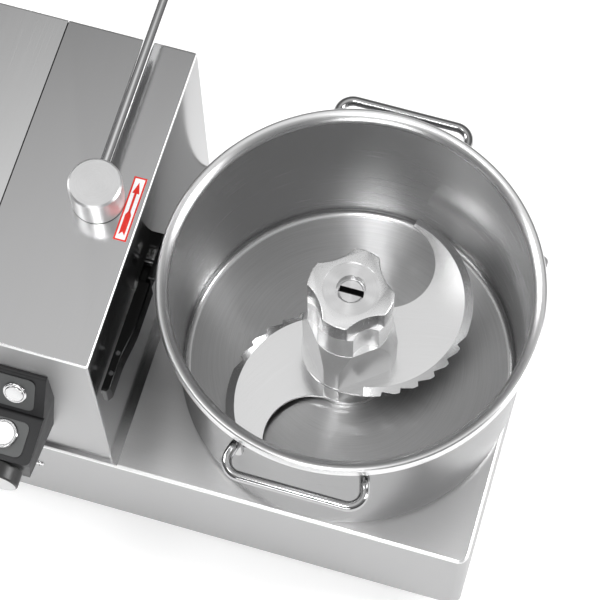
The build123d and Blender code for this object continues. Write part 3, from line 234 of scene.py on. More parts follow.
@dataclass(frozen=True)
class SteelFinish:
    """Stainless steel with a directed grain."""

    name: str
    grain: Grain
    tone: float = 0.62
    contrast: float = 0.05
    rough_low: float = 0.16
    rough_high: float = 0.30
    anisotropy: float = 0.0
    relief: float = 4e-6
    fine: float = 1.0
    centre: Pair = (BOWL_X * MM, MID_Y * MM)
    warmth: float = 0.0
    metal: float = 1.0
    coolness: float = 0.004

    def make(self) -> Material:
        """Build the material.

        Returns:
            The finished material.
        """
        tree = Tree(self.name)
        fine = FINE_SCALE * self.fine
        if self.grain is Grain.TURNED:
            vector = tree.polar(self.centre, fine, ROUND_SCALE)
        else:
            along = {Grain.ALONG_X: 0, Grain.ALONG_Y: 1, Grain.ALONG_Z: 2}.get(self.grain)
            vector = tree.stretched([SLOW_SCALE if axis == along else fine for axis in range(3)])
        lines = tree.noise(vector, 1.0, 3.0)
        cloud = tree.noise(tree.stretched((CLOUD_SCALE,) * 3), 1.0, 2.0)
        fine_part = tree.maths("MULTIPLY", lines, LINE_SHARE)
        streaks = tree.maths("ADD", fine_part, tree.maths("MULTIPLY", cloud, 1.0 - LINE_SHARE))
        low, high = self.tone - self.contrast, self.tone + self.contrast
        tree.tint(
            tree.spread(streaks, 0.0, 1.0),
            (low + self.warmth, low, low),
            (high + self.warmth, high, high + self.coolness),
        )
        tree.join(tree.spread(streaks, self.rough_low, self.rough_high), "Roughness")
        tree.fix(Metallic=self.metal)
        if self.anisotropy:
            # A quarter turn lays the highlight across the grain.
            tree.fix(Anisotropic=self.anisotropy, Anisotropic_Rotation=0.25)
            tree.join(tree.grain(self.grain, self.centre), "Tangent")
        if self.relief:
            tree.relief(lines, self.relief)
        return tree.material


@dataclass(frozen=True)
class PlasticFinish:
    """Moulded plastic or rubber with a finely pebbled skin."""

    name: str
    dark: Triple
    light: Triple
    rough_low: float
    rough_high: float
    pebble: float = 2e-5
    pebble_scale: float = 900.0
    gloss: float = 0.5

    def make(self) -> Material:
        """Build the material.

        Returns:
            The finished material.
        """
        tree = Tree(self.name)
        skin = tree.noise(tree.place(), self.pebble_scale, 3.0)
        cloud = tree.noise(tree.place(), 35.0, 3.0)
        tree.tint(tree.spread(cloud, 0.0, 1.0), self.dark, self.light)
        tree.join(tree.spread(cloud, self.rough_low, self.rough_high), "Roughness")
        tree.fix(Specular_IOR_Level=self.gloss)
        if self.pebble:
            tree.relief(skin, self.pebble)
        return tree.material


@dataclass(frozen=True)
class LampFinish:
    """A translucent white lens, lit from behind."""

    name: str
    dark: Triple = (0.76, 0.76, 0.75)
    light: Triple = (0.84, 0.84, 0.84)
    glow: float = 0.12

    def make(self) -> Material:
        """Build the material.

        Returns:
            The finished material.
        """
        tree = Tree(self.name)
        cloud = tree.noise(tree.place(), 120.0, 2.0)
        tree.tint(tree.spread(cloud, 0.0, 1.0), self.dark, self.light)
        tree.fix(Roughness=0.28, Emission_Color=(1, 1, 1, 1), Emission_Strength=self.glow)
        return tree.material


@dataclass(frozen=True)
class PrintFinish:
    """Ink or film on a label, slightly uneven."""

    name: str
    ink: Triple
    thin: float = 0.94
    thick: float = 1.04

    def make(self) -> Material:
        """Build the material.

        Returns:
            The finished material.
        """
        tree = Tree(self.name)
        cloud = tree.noise(tree.place(), 260.0, 3.0)
        dark, light = ([min(1.0, tone * ink) for tone in self.ink] for ink in (self.thin, self.thick))
        tree.tint(tree.spread(cloud, 0.0, 1.0), dark, light)
        tree.join(tree.spread(cloud, 0.30, 0.42), "Roughness")
        return tree.material


Finish = SteelFinish | PlasticFinish | LampFinish | PrintFinish


@cache
def paint(finish: Finish) -> Material:
    """Build the material of a finish the first time, and return it."""
    return finish.make()


SHEET_X = SteelFinish("sheet_grain_x", Grain.ALONG_X, 0.60, 0.012, 0.30, 0.34, 0.5, 0.0)
SHEET_Y = SteelFinish("sheet_grain_y", Grain.ALONG_Y, 0.50, 0.012, 0.15, 0.18, 0.3, 0.0)
SHEET_Z = SteelFinish("sheet_grain_z", Grain.ALONG_Z, 0.41, 0.012, 0.46, 0.52, 0.0, 0.0)
# Painted highlight: the upper folds are coloured far lighter than the sheet, so that each fold shows a
# bright line.
FOLD_HIGHLIGHT = SteelFinish("sheet_fold_painted_highlight", Grain.ALONG_Y, 0.86, 0.01, 0.40, 0.46, 0.0, 0.0)
SHEET_SIDE = SteelFinish("sheet_side", Grain.ALONG_Z, 0.46, 0.02, 0.12, 0.18, 0.0, 5e-7)
# Painted light: the side cover's top is the same sheet as the housing's top, coloured lighter for the light
# that falls on it.
COVER_TOP_LIT = SteelFinish("cover_grain_y_painted_light", Grain.ALONG_Y, 0.74, 0.02, 0.20, 0.28, 0.3, 1e-6)
# Near-black painted shade: the strap seen through the housing's seam gap and the inside of the spindle's
# slot are coloured dark for the shade that falls there.
PAINTED_SHADE = SteelFinish("painted_shade_sheet", Grain.ALONG_Y, 0.04, 0.01, 0.5, 0.7, 0.0, 4e-6, 0.5)
BOWL_FLOOR = SteelFinish("bowl_turned_floor", Grain.TURNED, 0.40, 0.04, 0.33, 0.40, 0.85, 1.5e-6, 0.7)
BOWL_WALL = SteelFinish("bowl_polished_wall", Grain.TURNED, 0.50, 0.015, 0.24, 0.28, 0.7, 0.0, 0.6)
# Painted reflection: the bowl's outside is the same steel as its inside, coloured much darker for the dark
# surroundings it reflects.
BOWL_SKIN_SHADED = SteelFinish("bowl_outer_wall_painted_shade", Grain.TURNED, 0.22, 0.02, 0.20, 0.28, 0.6, 1e-6, 0.6)
BOWL_RIM = SteelFinish("bowl_rim", Grain.TURNED, 0.74, 0.02, 0.26, 0.32, 0.4, 5e-7)
BLADE_FACE = SteelFinish("blade_ground_face", Grain.TURNED, 0.80, 0.03, 0.20, 0.27, 0.0, 1.5e-6, 0.8,
                         (BOWL_X * MM + 0.09, MID_Y * MM - 0.13))
# The ground bevel's smoother finish is real; its darker tone than the face is painted shade, for the dark
# band the bevel shows.
BLADE_BEVEL_SHADED = SteelFinish("blade_ground_bevel_painted_shade", Grain.BLASTED, 0.58, 0.03, 0.12, 0.18, 0.0, 5e-7, 0.8)
BLOCK_STEEL = SteelFinish("block_satin", Grain.BLASTED, 0.88, 0.02, 0.22, 0.28, 0.0, 1e-6, 0.8,
                          metal=0.45)
HUB_STEEL = SteelFinish("hub_satin", Grain.BLASTED, 0.78, 0.03, 0.24, 0.32, 0.0, 1e-6, 0.8)
HUB_TURNED = SteelFinish("hub_turned_face", Grain.TURNED, 0.74, 0.03, 0.26, 0.34, 0.8, 2e-6, 0.9)
TURNED_POST = SteelFinish("turned_post", Grain.TURNED, 0.78, 0.03, 0.34, 0.42, 0.25, 2e-6, 0.9,
                          ((BOWL_X - 198) * MM, (MID_Y - 4) * MM))
ROD_STEEL = SteelFinish("drawn_rod", Grain.ALONG_Y, 0.80, 0.03, 0.08, 0.14, 0.0, 1e-6)
HANDLE_STEEL = SteelFinish("handle_rod", Grain.ALONG_X, 0.42, 0.02, 0.12, 0.18, 0.0, 1e-6)
DARK_STEEL = SteelFinish("blackened_steel", Grain.BLASTED, 0.10, 0.02, 0.20, 0.30, 0.0, 1e-6)
BRIGHT_STEEL = SteelFinish("bright_steel", Grain.BLASTED, 0.68, 0.03, 0.14, 0.22, 0.0, 1e-6)
CAST_METAL = SteelFinish("cast_alloy", Grain.BLASTED, 0.45, 0.05, 0.42, 0.58, 0.0, 4e-5, 0.25)
IRON = SteelFinish("laminated_iron", Grain.ALONG_Z, 0.16, 0.03, 0.45, 0.6, 0.0, 2e-5, 0.3)
BRONZE = SteelFinish("bush_bronze", Grain.TURNED, 0.40, 0.04, 0.25, 0.4, 0.0, 6e-6, 0.8, warmth=0.18)
CONSOLE_SKIN = PlasticFinish("console_skin", (0.011, 0.011, 0.012), (0.018, 0.018, 0.019), 0.40, 0.52,
                             gloss=0.35)
PLATE_SKIN = PlasticFinish("console_plate", (0.070, 0.073, 0.073), (0.088, 0.090, 0.090), 0.34, 0.44,
                           1e-5, 1500, 0.4)
LEVER_SKIN = PlasticFinish("lever_gloss", (0.002, 0.002, 0.002), (0.003, 0.003, 0.003), 0.14, 0.20,
                           6e-6, 300, 0.10)
KNOB_SKIN = PlasticFinish("knob_grey", (0.50, 0.50, 0.50), (0.58, 0.58, 0.58), 0.28, 0.4, 8e-6, 1200)
# Painted shade: the plates' narrow sides are coloured near-black for the shade in the groove round each
# plate.
GROOVE_SHADE = PlasticFinish("groove_painted_shade", (0.008, 0.008, 0.008), (0.012, 0.012, 0.012), 0.55, 0.7, 4e-6)
DARK_MARK = PlasticFinish("dark_mark", (0.010, 0.010, 0.010), (0.016, 0.016, 0.016), 0.35, 0.5, 6e-6)
RUBBER = PlasticFinish("foot_rubber", (0.018, 0.018, 0.018), (0.030, 0.030, 0.030), 0.62, 0.78, 4e-5, 600)
NYLON = PlasticFinish("nylon", (0.70, 0.70, 0.67), (0.78, 0.78, 0.75), 0.4, 0.5, 1e-5, 500)
LENS = LampFinish("lamp_lens")
LABEL_WHITE = PrintFinish("label_white", (0.86, 0.87, 0.88))
LABEL_RED = PrintFinish("label_red", (0.66, 0.014, 0.004))


class Shape:
    """Mesh work that several sub-assemblies share."""

    @staticmethod
    def new(name: str, mesh: Mesh) -> Object:
        """Link a mesh to the scene as a new object.

        Args:
            name: The object's name.
            mesh: Its mesh.

        Returns:
            The object.
        """
        thing = bpy.data.objects.new(name, mesh)
        bpy.context.scene.collection.objects.link(thing)
        return thing

    @staticmethod
    def freeze(thing: Object) -> None:
        """Turn an object's modifiers into its plain mesh.

        Args:
            thing: The object to freeze.
        """
        graph = bpy.context.evaluated_depsgraph_get()
        graph.update()
        mesh = bpy.data.meshes.new_from_object(thing.evaluated_get(graph))
        thing.modifiers.clear()
        thing.data = mesh

    @staticmethod
    def smooth(mesh: Mesh, degrees: float) -> None:
        """Shade a mesh smooth except across edges sharper than an angle.

        Args:
            mesh: The mesh.
            degrees: The angle.
        """
        work = bmesh.new()
        work.from_mesh(mesh)
        for face in work.faces:
            face.smooth = True
        for edge in work.edges:
            edge.smooth = len(edge.link_faces) == 2 and edge.calc_face_angle(0.0) < math.radians(degrees)
        work.to_mesh(mesh)
        work.free()

    @staticmethod
    def lathe(profile: Sequence[Pair], centre: Pair, steps: int) -> Mesh:
        """Turn a closed profile about an upright axis.

        Args:
            profile: Radius and height pairs in millimetres, going round the section.
            centre: The axis' X and Y in millimetres.
            steps: Number of steps round.

        Returns:
            A closed mesh with outward faces.
        """
        count = len(profile)
        verts: list[Triple] = []
        faces: list[tuple[int, int, int, int]] = []
        for step in range(steps):
            turn = 2 * math.pi * step / steps
            here, there = step * count, ((step + 1) % steps) * count
            for k, (radius, height) in enumerate(profile):
                verts.append((
                    (centre[0] + radius * math.cos(turn)) * MM,
                    (centre[1] + radius * math.sin(turn)) * MM,
                    height * MM,
                ))
                n = (k + 1) % count
                faces.append((here + k, there + k, there + n, here + n))
        mesh = bpy.data.meshes.new("turned")
        mesh.from_pydata(verts, [], faces)
        work = bmesh.new()
        work.from_mesh(mesh)
        bmesh.ops.remove_doubles(work, verts=work.verts, dist=1e-7)
        bmesh.ops.recalc_face_normals(work, faces=work.faces)
        work.to_mesh(mesh)
        work.free()
        return mesh

    @staticmethod
    def arc(
        centre: Pair, radius: float, start: float, end: float, steps: int
    ) -> list[Pair]:
        """Points on an arc.

        Args:
            centre: The arc's centre.
            radius: Its radius.
            start: First angle in degrees.
            end: Last angle in degrees.
            steps: Number of steps.

        Returns:
            The points, both ends included.
        """
        points = []
        for step in range(steps + 1):
            turn = math.radians(start + (end - start) * step / steps)
            points.append((centre[0] + radius * math.cos(turn), centre[1] + radius * math.sin(turn)))
        return points


@dataclass
class Dressed:
    """A frame node taken over as a finished piece with soft edges and a finish."""

    node: str
    body: str
    finish: Finish
    slot: str
    bevel: float = 0.3
    sharp: float = 30.0
    crease: float = 30.0
    weld: float = 2e-6
    flat: float = 0.6

    def build(self, nodes: dict[str, Object]) -> Object:
        """Make the piece from its node's solid.

        Args:
            nodes: The frame's nodes.

        Returns:
            The finished piece.
        """
        mesh = nodes[self.node].data.copy()
        mesh.materials.clear()
        work = bmesh.new()
        work.from_mesh(mesh)
        bmesh.ops.remove_doubles(work, verts=work.verts, dist=self.weld)
        bmesh.ops.dissolve_limit(
            work, angle_limit=math.radians(self.flat), verts=work.verts, edges=work.edges, delimit={"NORMAL"}
        )
        work.to_mesh(mesh)
        work.free()
        piece = Shape.new(f"{self.node}_dressed", mesh)
        if self.bevel:
            edge = piece.modifiers.new("soft_edge", "BEVEL")
            edge.width = self.bevel * MM
            edge.segments = 2
            edge.limit_method = "ANGLE"
            edge.angle_limit = math.radians(self.sharp)
            Shape.freeze(piece)
        Shape.smooth(piece.data, self.crease)
        if self.bevel:
            even = piece.modifiers.new("even_normals", "WEIGHTED_NORMAL")
            even.keep_sharp = True
            Shape.freeze(piece)
        piece.data.materials.clear()
        piece.data.materials.append(paint(self.finish))
        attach(piece, self.body)
        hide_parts(self.node)
        return piece


@dataclass
class Zoned(Dressed):
    """A dressed piece whose faces share several finishes."""

    others: tuple[Finish, ...] = ()
    zone: Callable[[MeshPolygon], int] = lambda face: 0

    def build(self, nodes: dict[str, Object]) -> Object:
        """Make the piece and give each zone its finish.

        Args:
            nodes: The frame's nodes.

        Returns:
            The finished piece.
        """
        piece = super().build(nodes)
        for finish in self.others:
            piece.data.materials.append(paint(finish))
        for face in piece.data.polygons:
            face.material_index = int(self.zone(face))
        return piece


def from_spindle(face: MeshPolygon) -> float:
    """Distance of a face's middle from the spindle's axis, in millimetres."""
    return math.hypot(face.center.x - BOWL_X * MM, face.center.y - MID_Y * MM) / MM


def is_bevel(face: MeshPolygon, flat: float = 0.985) -> bool:
    """Whether a blade face belongs to the ground bevel or the teeth, which are painted darker as shade."""
    return -LEVEL < face.normal.z < flat


def in_knob_disc(face: MeshPolygon, radius: float = 22.2, top: float = 4.4) -> bool:
    """Whether a knob face belongs to the sunk disc on its top."""
    return face.normal.z > LEVEL and from_spindle(face) < radius and face.center.z < (RIM_Z - top) * MM


def in_slot(face: MeshPolygon, radius: float = 9.4, top: float = 9.5, foot: float = 20.0) -> bool:
    """Whether a spindle face lies inside the slot in its end; these faces carry painted shade."""
    return (RIM_Z - foot) * MM < face.center.z < (RIM_Z - top) * MM and from_spindle(face) < radius


def base_side(face: MeshPolygon) -> int:
    """0 for a sheet's level faces, 1 for its upright ones and 2 for its upper folds, which carry a painted
    highlight.
    """
    if abs(face.normal.z) > LEVEL:
        return 0
    return 2 if face.normal.z > FOLDED else 1


def sheet_side(face: MeshPolygon) -> int:
    """0 for level faces, 1 for those that look along Y, 2 for those along X and 3 for the upper folds, which
    carry a painted highlight.
    """
    kind = base_side(face)
    if kind == 1:
        return 2 if abs(face.normal.x) > 0.75 else 1
    return 3 if kind == 2 else 0


def is_side(face: MeshPolygon, turned: float = 0.4, narrow: float = 4e-6) -> bool:
    """Whether a control plate's face is one of its narrow sides, which are painted near-black as the
    groove's shade.
    """
    return abs(face.normal.x) > turned or face.area < narrow


def is_low_ring(face: MeshPolygon, ring_y: float = -188.6, flat: float = 0.94) -> bool:
    """Whether a speed-knob face lies on the narrow ring at its front edge."""
    return face.center.y < ring_y * MM and abs(face.normal.y) < flat


@dataclass
class ArrowLabel:
    """The printed label with a border and an arrow that points to the rear."""

    length: float = 54.0
    width: float = 10.3
    thick: float = 0.3
    border: float = 1.3
    lift: float = 0.06

    def arrow(self) -> list[list[Pair]]:
        """List the convex pieces of the arrow.

        Returns:
            The corners of its head, shaft and notched tail, across and along the label, in millimetres.
        """
        head = [(-2.8, 13.2), (2.8, 13.2), (0.0, 22.8)]
        shaft = [(-0.9, -3.0), (0.9, -3.0), (0.9, 13.2), (-0.9, 13.2)]
        shoulder = [(-2.3, -5.2), (2.3, -5.2), (0.9, -2.2), (-0.9, -2.2)]
        left = [(-2.3, -22.4), (0.0, -19.4), (0.0, -5.2), (-2.3, -5.2)]
        right = [(0.0, -19.4), (2.3, -22.4), (2.3, -5.2), (0.0, -5.2)]
        return [head, shaft, shoulder, left, right]

    def build(self, nodes: dict[str, Object]) -> Object:
        """Make the label.

        Args:
            nodes: The frame's nodes.

        Returns:
            The finished piece.
        """
        box = [Vector(corner) for corner in nodes["arrow_label"].bound_box]
        middle = sum(box, Vector()) / 8
        top = max(corner.z for corner in box)
        work = bmesh.new()
        bmesh.ops.create_cube(work, size=1.0)
        size = Vector((self.width, self.length, self.thick - self.lift)) * MM
        for vert in work.verts:
            vert.co = middle + vert.co * size
            vert.co.z -= self.lift * MM / 2
        x, y, b = self.width / 2, self.length / 2, self.border
        strips = (
            (-x, -y, x, b - y), (-x, y - b, x, y), (-x, b - y, b - x, y - b), (x - b, b - y, x, y - b),
        )
        outlines = [[(x0, y0), (x1, y0), (x1, y1), (x0, y1)] for x0, y0, x1, y1 in strips]
        outlines += self.arrow()
        for outline in outlines:
            ring = [work.verts.new((middle.x + u * MM, middle.y + v * MM, top)) for u, v in outline]
            work.faces.new(ring).material_index = 1
        work.normal_update()
        mesh = bpy.data.meshes.new("arrow_label")
        work.to_mesh(mesh)
        work.free()
        for finish in (LABEL_WHITE, LABEL_RED):
            mesh.materials.append(paint(finish))
        piece = Shape.new("arrow_label_dressed", mesh)
        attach(piece, MACHINE)
        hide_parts("arrow_label")
        return piece


@dataclass
class ScrewRow:
    """Domed screws with a cross recess, set by a node tree on their places."""

    node: str
    body: str
    places: tuple[Triple, ...]
    outward: tuple[Triple, ...]
    head: float = 4.0
    height: float = 2.4
    skirt: float = 0.35
    fullness: float = 0.75
    cross: Triple = (4.4, 0.9, 2.4)
    scale: float = 0.999
    steps: int = 32

    def template(self) -> Object:
        """Model one screw head, its axis along +Z and its seat at the origin.

        Returns:
            The head.
        """
        profile = [(0.0, 0.0), (self.head, 0.0), (self.head, self.skirt)]
        for degrees in range(12, 84, 8):
            turn = math.radians(degrees)
            rise = (self.height - self.skirt) * math.sin(turn)
            profile.append((self.head * math.cos(turn) ** self.fullness, self.skirt + rise))
        profile.append((0.0, self.height))
        thing = Shape.new("screw_template", Shape.lathe(profile, (0.0, 0.0), self.steps))
        cutter = bmesh.new()
        size = Matrix.Diagonal([side * MM for side in self.cross] + [1])
        for degrees in (0.0, 90.0):
            bar = bmesh.ops.create_cube(cutter, size=1.0)
            turned = Matrix.Rotation(math.radians(degrees), 4, "Z") @ size
            bmesh.ops.transform(cutter, matrix=turned, verts=bar["verts"])
        bmesh.ops.translate(cutter, vec=(0, 0, self.height * MM), verts=cutter.verts)
        mesh = bpy.data.meshes.new("recess")
        cutter.to_mesh(mesh)
        cutter.free()
        recess = Shape.new("recess_cutter", mesh)
        cut = thing.modifiers.new("recess", "BOOLEAN")
        cut.object = recess
        cut.solver = "EXACT"
        cut.use_self = True
        Shape.freeze(thing)
        bpy.data.objects.remove(recess)
        Shape.smooth(thing.data, 35.0)
        return thing

    def build(self, scatter: NodeTree) -> Object:
        """Set the screws on their places.

        Args:
            scatter: The node tree that sets copies on points.

        Returns:
            The finished piece.
        """
        mesh = bpy.data.meshes.new(f"{self.node}_places")
        mesh.from_pydata([tuple(v * MM for v in place) for place in self.places], [], [])
        spin = mesh.attributes.new("spin", "FLOAT_VECTOR", "POINT")
        for k, direction in enumerate(self.outward):
            spin.data[k].vector = Vector(direction).to_track_quat("Z", "Y").to_euler()[:]
        template = self.template()
        piece = Shape.new(f"{self.node}_dressed", mesh)
        values = {"Piece": template, "Size": self.scale, "Finish": paint(BRIGHT_STEEL)}
        NodeTools.run(piece, scatter, values)
        bpy.data.objects.remove(template)
        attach(piece, self.body)
        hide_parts(self.node)
        return piece


@dataclass
class Bowl:
    """The deep steel bowl with its rolled rim, its turned floor and its stem."""

    rim_radius: float = 150.0
    bead: float = 5.0
    mouth: float = 140.0
    foot: float = 138.0
    sheet: float = 2.0
    corner: float = 6.0
    boss: float = 33.0
    boss_height: float = 5.3
    stem_bore: float = 15.0
    stem_wall: float = 2.0
    stem_height: float = 104.0
    floor_z: float = 150.2
    roll_height: float = 8.0
    steps: int = 256

    def roll(self) -> list[Pair]:
        """Draw the rolled rim: a dome that rises outward, an upright edge and the turned-in foot.

        Returns:
            Points across and up from the rim's outer edge, in millimetres.
        """
        points = [(-9.9, 0.2), (-9.4, 1.2), (-8.4, 2.6), (-7.0, 4.0), (-5.4, 5.2), (-3.8, 5.9)]
        points += Shape.arc((-2.2, 3.9), 2.2, 100, 0, 8)
        points += [(0.0, 1.0), (0.0, -2.0)]
        points += Shape.arc((-2.2, -4.6), 2.2, 0, -100, 8)
        points += [(-4.4, -6.7), (-6.4, -6.2), (-7.4, -5.4)]
        return points

    def profile(self) -> list[Pair]:
        """Draw the bowl's section, from the stem over the floor, up inside and down outside.

        Returns:
            Radius and height of each point, in millimetres.
        """
        floor, seat = self.floor_z, self.floor_z - self.sheet
        boss_top = floor + self.boss_height
        stem = self.stem_bore + self.stem_wall
        bead_z = RIM_Z - self.bead
        low, high = floor + self.corner, bead_z - 3
        corner = (self.foot - self.corner, low)
        points: list[Pair] = [
            (self.stem_bore, floor + self.stem_height),
            (stem, floor + self.stem_height),
            (stem, boss_top),
        ]
        points += [(r, boss_top) for r in (20, 24, 28, self.boss - 1)]
        points.append((self.boss + 1, floor))
        points += [(r, floor) for r in range(40, 131, 6)]
        points += Shape.arc(corner, self.corner, -90, -1, 10)
        for share in (step / 12 for step in range(1, 12)):
            points.append((self.foot + (self.mouth - self.foot) * share, low + (high - low) * share))
        points += [(self.mouth, bead_z), (self.mouth, RIM_Z - 0.6)]
        points += [(self.rim_radius + across, RIM_Z + up) for across, up in self.roll()]
        points.append((self.mouth + self.sheet, bead_z - 2.0))
        for share in (step / 8 for step in range(1, 8)):
            points.append((
                self.mouth + self.sheet - (self.mouth - self.foot) * share,
                high - (high - seat - self.corner - self.sheet) * share,
            ))
        points += Shape.arc(corner, self.corner + self.sheet, 0, -90, 10)
        points += [(r, seat) for r in (100, 60, self.boss - self.sheet)]
        points += [(self.boss - self.sheet, boss_top - self.sheet), (self.stem_bore, boss_top - self.sheet)]
        return points

    def zone(self, face: MeshPolygon) -> int:
        """Tell which finish a face has.

        Args:
            face: One of the bowl's faces.

        Returns:
            0 for the inner wall, 1 for the floor, 2 for the rolled rim and 3 for the outer skin, which is
            painted dark as a painted reflection.
        """
        reach = from_spindle(face)
        height = face.center.z / MM
        outward = face.normal.to_2d().dot(face.center.to_2d() - Vector((BOWL_X, MID_Y)) * MM) > 0
        on_roll = height > RIM_Z - self.roll_height and reach > self.mouth + self.sheet + 0.2
        if height > RIM_Z - 0.5 or on_roll:
            return 2
        if reach < self.foot - self.corner and face.normal.z > 0.3:
            return 1
        return 3 if outward and reach > self.foot + 1.0 else 0

    def build(self) -> Object:
        """Make the bowl and dress its zones.

        Returns:
            The finished piece.
        """
        mesh = Shape.lathe(self.profile(), (BOWL_X, MID_Y), self.steps)
        Shape.smooth(mesh, 40.0)
        for finish in (BOWL_WALL, BOWL_FLOOR, BOWL_RIM, BOWL_SKIN_SHADED):
            mesh.materials.append(paint(finish))
        for face in mesh.polygons:
            face.material_index = self.zone(face)
        piece = Shape.new("bowl_dressed", mesh)
        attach(piece, "bowl_vessel")
        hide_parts("bowl")
        return piece


@dataclass
class RodHandle:
    """A bent-rod handle swept along its path by a node tree."""

    side: int
    node: str
    rod: float = 4.0
    reach: float = 163.5
    half_span: float = 57.0
    leg_half_span: float = 50.0
    leg: float = 24.0
    drop: float = 20.0
    bends: tuple[float, float, float, float] = (7.0, 12.0, 12.0, 7.0)
    bend_steps: int = 12
    wall: float = 142.0
    weld: float = 0.4

    def corners(self) -> list[Vector]:
        """Place the corners of the rod's centre line.

        Returns:
            The corners in millimetres, from one leg's foot to the other's.
        """
        leg_y = math.sqrt((self.wall + self.rod - self.weld) ** 2 - self.leg_half_span**2)
        top = RIM_Z - self.drop
        half = [
            Vector((-self.leg_half_span, leg_y, top - self.leg)),
            Vector((-self.leg_half_span, leg_y, top)),
            Vector((-self.half_span, self.reach, top)),
        ]
        other = [Vector((-p.x, p.y, p.z)) for p in reversed(half)]
        return [Vector((BOWL_X + p.x, MID_Y + self.side * p.y, p.z)) for p in half + other]

    def path(self) -> list[Vector]:
        """Round the corners of the centre line.

        Returns:
            The points along it, in millimetres.
        """
        corners = self.corners()
        points = [corners[0]]
        for k in range(1, len(corners) - 1):
            here = corners[k]
            before = (corners[k - 1] - here).normalized()
            after = (corners[k + 1] - here).normalized()
            half = before.angle(after) / 2
            cut = self.bends[k - 1] / math.tan(half)
            middle = here + (before + after).normalized() * (self.bends[k - 1] / math.sin(half))
            first, last = here + before * cut - middle, here + after * cut - middle
            total = first.angle(last)
            for step in range(self.bend_steps + 1):
                share = step / self.bend_steps
                weight_a = math.sin((1 - share) * total) / math.sin(total)
                weight_b = math.sin(share * total) / math.sin(total)
                points.append(middle + first * weight_a + last * weight_b)
        points.append(corners[-1])
        return points

    def build(self, sweep: NodeTree) -> Object:
        """Sweep the rod and dress it.

        Args:
            sweep: The node tree that gives a path its round section.

        Returns:
            The finished piece.
        """
        points = self.path()
        mesh = bpy.data.meshes.new(f"{self.node}_path")
        mesh.from_pydata([tuple(p * MM) for p in points], [(k, k + 1) for k in range(len(points) - 1)], [])
        piece = Shape.new(f"{self.node}_dressed", mesh)
        NodeTools.run(piece, sweep, {"Rod radius": self.rod * MM, "Finish": paint(HANDLE_STEEL)})
        Shape.smooth(piece.data, 50.0)
        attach(piece, "bowl_vessel")
        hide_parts(self.node)
        return piece


class NodeTools:
    """Geometry node trees of the machine, and the way they are run."""

    ROD_SIDES = 28

    @staticmethod
    def start(name: str, inputs: dict[str, str]) -> tuple[NodeTree, Node, Node]:
        """Start a tree with a geometry input and output.

        Args:
            name: The tree's name.
            inputs: The kinds of its further inputs, by name.

        Returns:
            The tree, its input node and its output node.
        """
        tree = bpy.data.node_groups.new(name, "GeometryNodeTree")
        tree.interface.new_socket("Geometry", in_out="OUTPUT", socket_type="NodeSocketGeometry")
        for label, kind in ({"Geometry": "Geometry"} | inputs | {"Finish": "Material"}).items():
            tree.interface.new_socket(label, in_out="INPUT", socket_type=f"NodeSocket{kind}")
        return tree, tree.nodes.new("NodeGroupInput"), tree.nodes.new("NodeGroupOutput")

    @staticmethod
    def join(tree: NodeTree, *pairs: tuple[NodeSocket, NodeSocket]) -> None:
        """Link pairs of sockets, each from an output to an input."""
        for start, end in pairs:
            tree.links.new(start, end)

    @staticmethod
    def close(tree: NodeTree, geometry: NodeSocket, source: Node, end: Node) -> None:
        """End a tree in Realize Instances and Set Material.

        Args:
            tree: The tree.
            geometry: The geometry so far.
            source: The tree's input node, with a Finish socket.
            end: The tree's output node.
        """
        real = tree.nodes.new("GeometryNodeRealizeInstances")
        skin = tree.nodes.new("GeometryNodeSetMaterial")
        NodeTools.join(
            tree,
            (geometry, real.inputs[0]),
            (real.outputs[0], skin.inputs["Geometry"]),
            (source.outputs["Finish"], skin.inputs["Material"]),
            (skin.outputs[0], end.inputs[0]),
        )

    @staticmethod
    def rod_sweep() -> NodeTree:
        """A tree that turns a path of edges into a closed round rod.

        Returns:
            The tree.
        """
        tree, source, end = NodeTools.start("rod_sweep", {"Rod radius": "Float"})
        curve = tree.nodes.new("GeometryNodeMeshToCurve")
        circle = tree.nodes.new("GeometryNodeCurvePrimitiveCircle")
        circle.inputs["Resolution"].default_value = NodeTools.ROD_SIDES
        sweep = tree.nodes.new("GeometryNodeCurveToMesh")
        sweep.inputs["Fill Caps"].default_value = True
        NodeTools.join(
            tree,
            (source.outputs["Geometry"], curve.inputs["Mesh"]),
            (source.outputs["Rod radius"], circle.inputs["Radius"]),
            (curve.outputs[0], sweep.inputs["Curve"]),
            (circle.outputs[0], sweep.inputs["Profile Curve"]),
        )
        NodeTools.close(tree, sweep.outputs[0], source, end)
        return tree

    @staticmethod
    def scatter() -> NodeTree:
        """A tree that sets a copy of an object on each point, turned as its spin attribute says.

        Returns:
            The tree.
        """
        tree, source, end = NodeTools.start("set_on_points", {"Piece": "Object", "Size": "Float"})
        info = tree.nodes.new("GeometryNodeObjectInfo")
        points = tree.nodes.new("GeometryNodeMeshToPoints")
        spin = tree.nodes.new("GeometryNodeInputNamedAttribute")
        spin.data_type = "FLOAT_VECTOR"
        spin.inputs["Name"].default_value = "spin"
        copies = tree.nodes.new("GeometryNodeInstanceOnPoints")
        NodeTools.join(
            tree,
            (source.outputs["Geometry"], points.inputs["Mesh"]),
            (source.outputs["Piece"], info.inputs["Object"]),
            (points.outputs[0], copies.inputs["Points"]),
            (info.outputs["Geometry"], copies.inputs["Instance"]),
            (spin.outputs["Attribute"], copies.inputs["Rotation"]),
            (source.outputs["Size"], copies.inputs["Scale"]),
        )
        NodeTools.close(tree, copies.outputs[0], source, end)
        return tree

    @staticmethod
    def run(thing: Object, tree: NodeTree, values: dict[str, object]) -> None:
        """Run a tree on an object and keep the result as its plain mesh.

        Args:
            thing: The object that carries the points or path.
            tree: The node tree.
            values: Input values by their socket's name.
        """
        modifier = thing.modifiers.new(tree.name, "NODES")
        modifier.node_group = tree
        for item in tree.interface.items_tree:
            if item.item_type == "SOCKET" and item.in_out == "INPUT" and item.name in values:
                modifier[item.identifier] = values[item.name]
        Shape.freeze(thing)


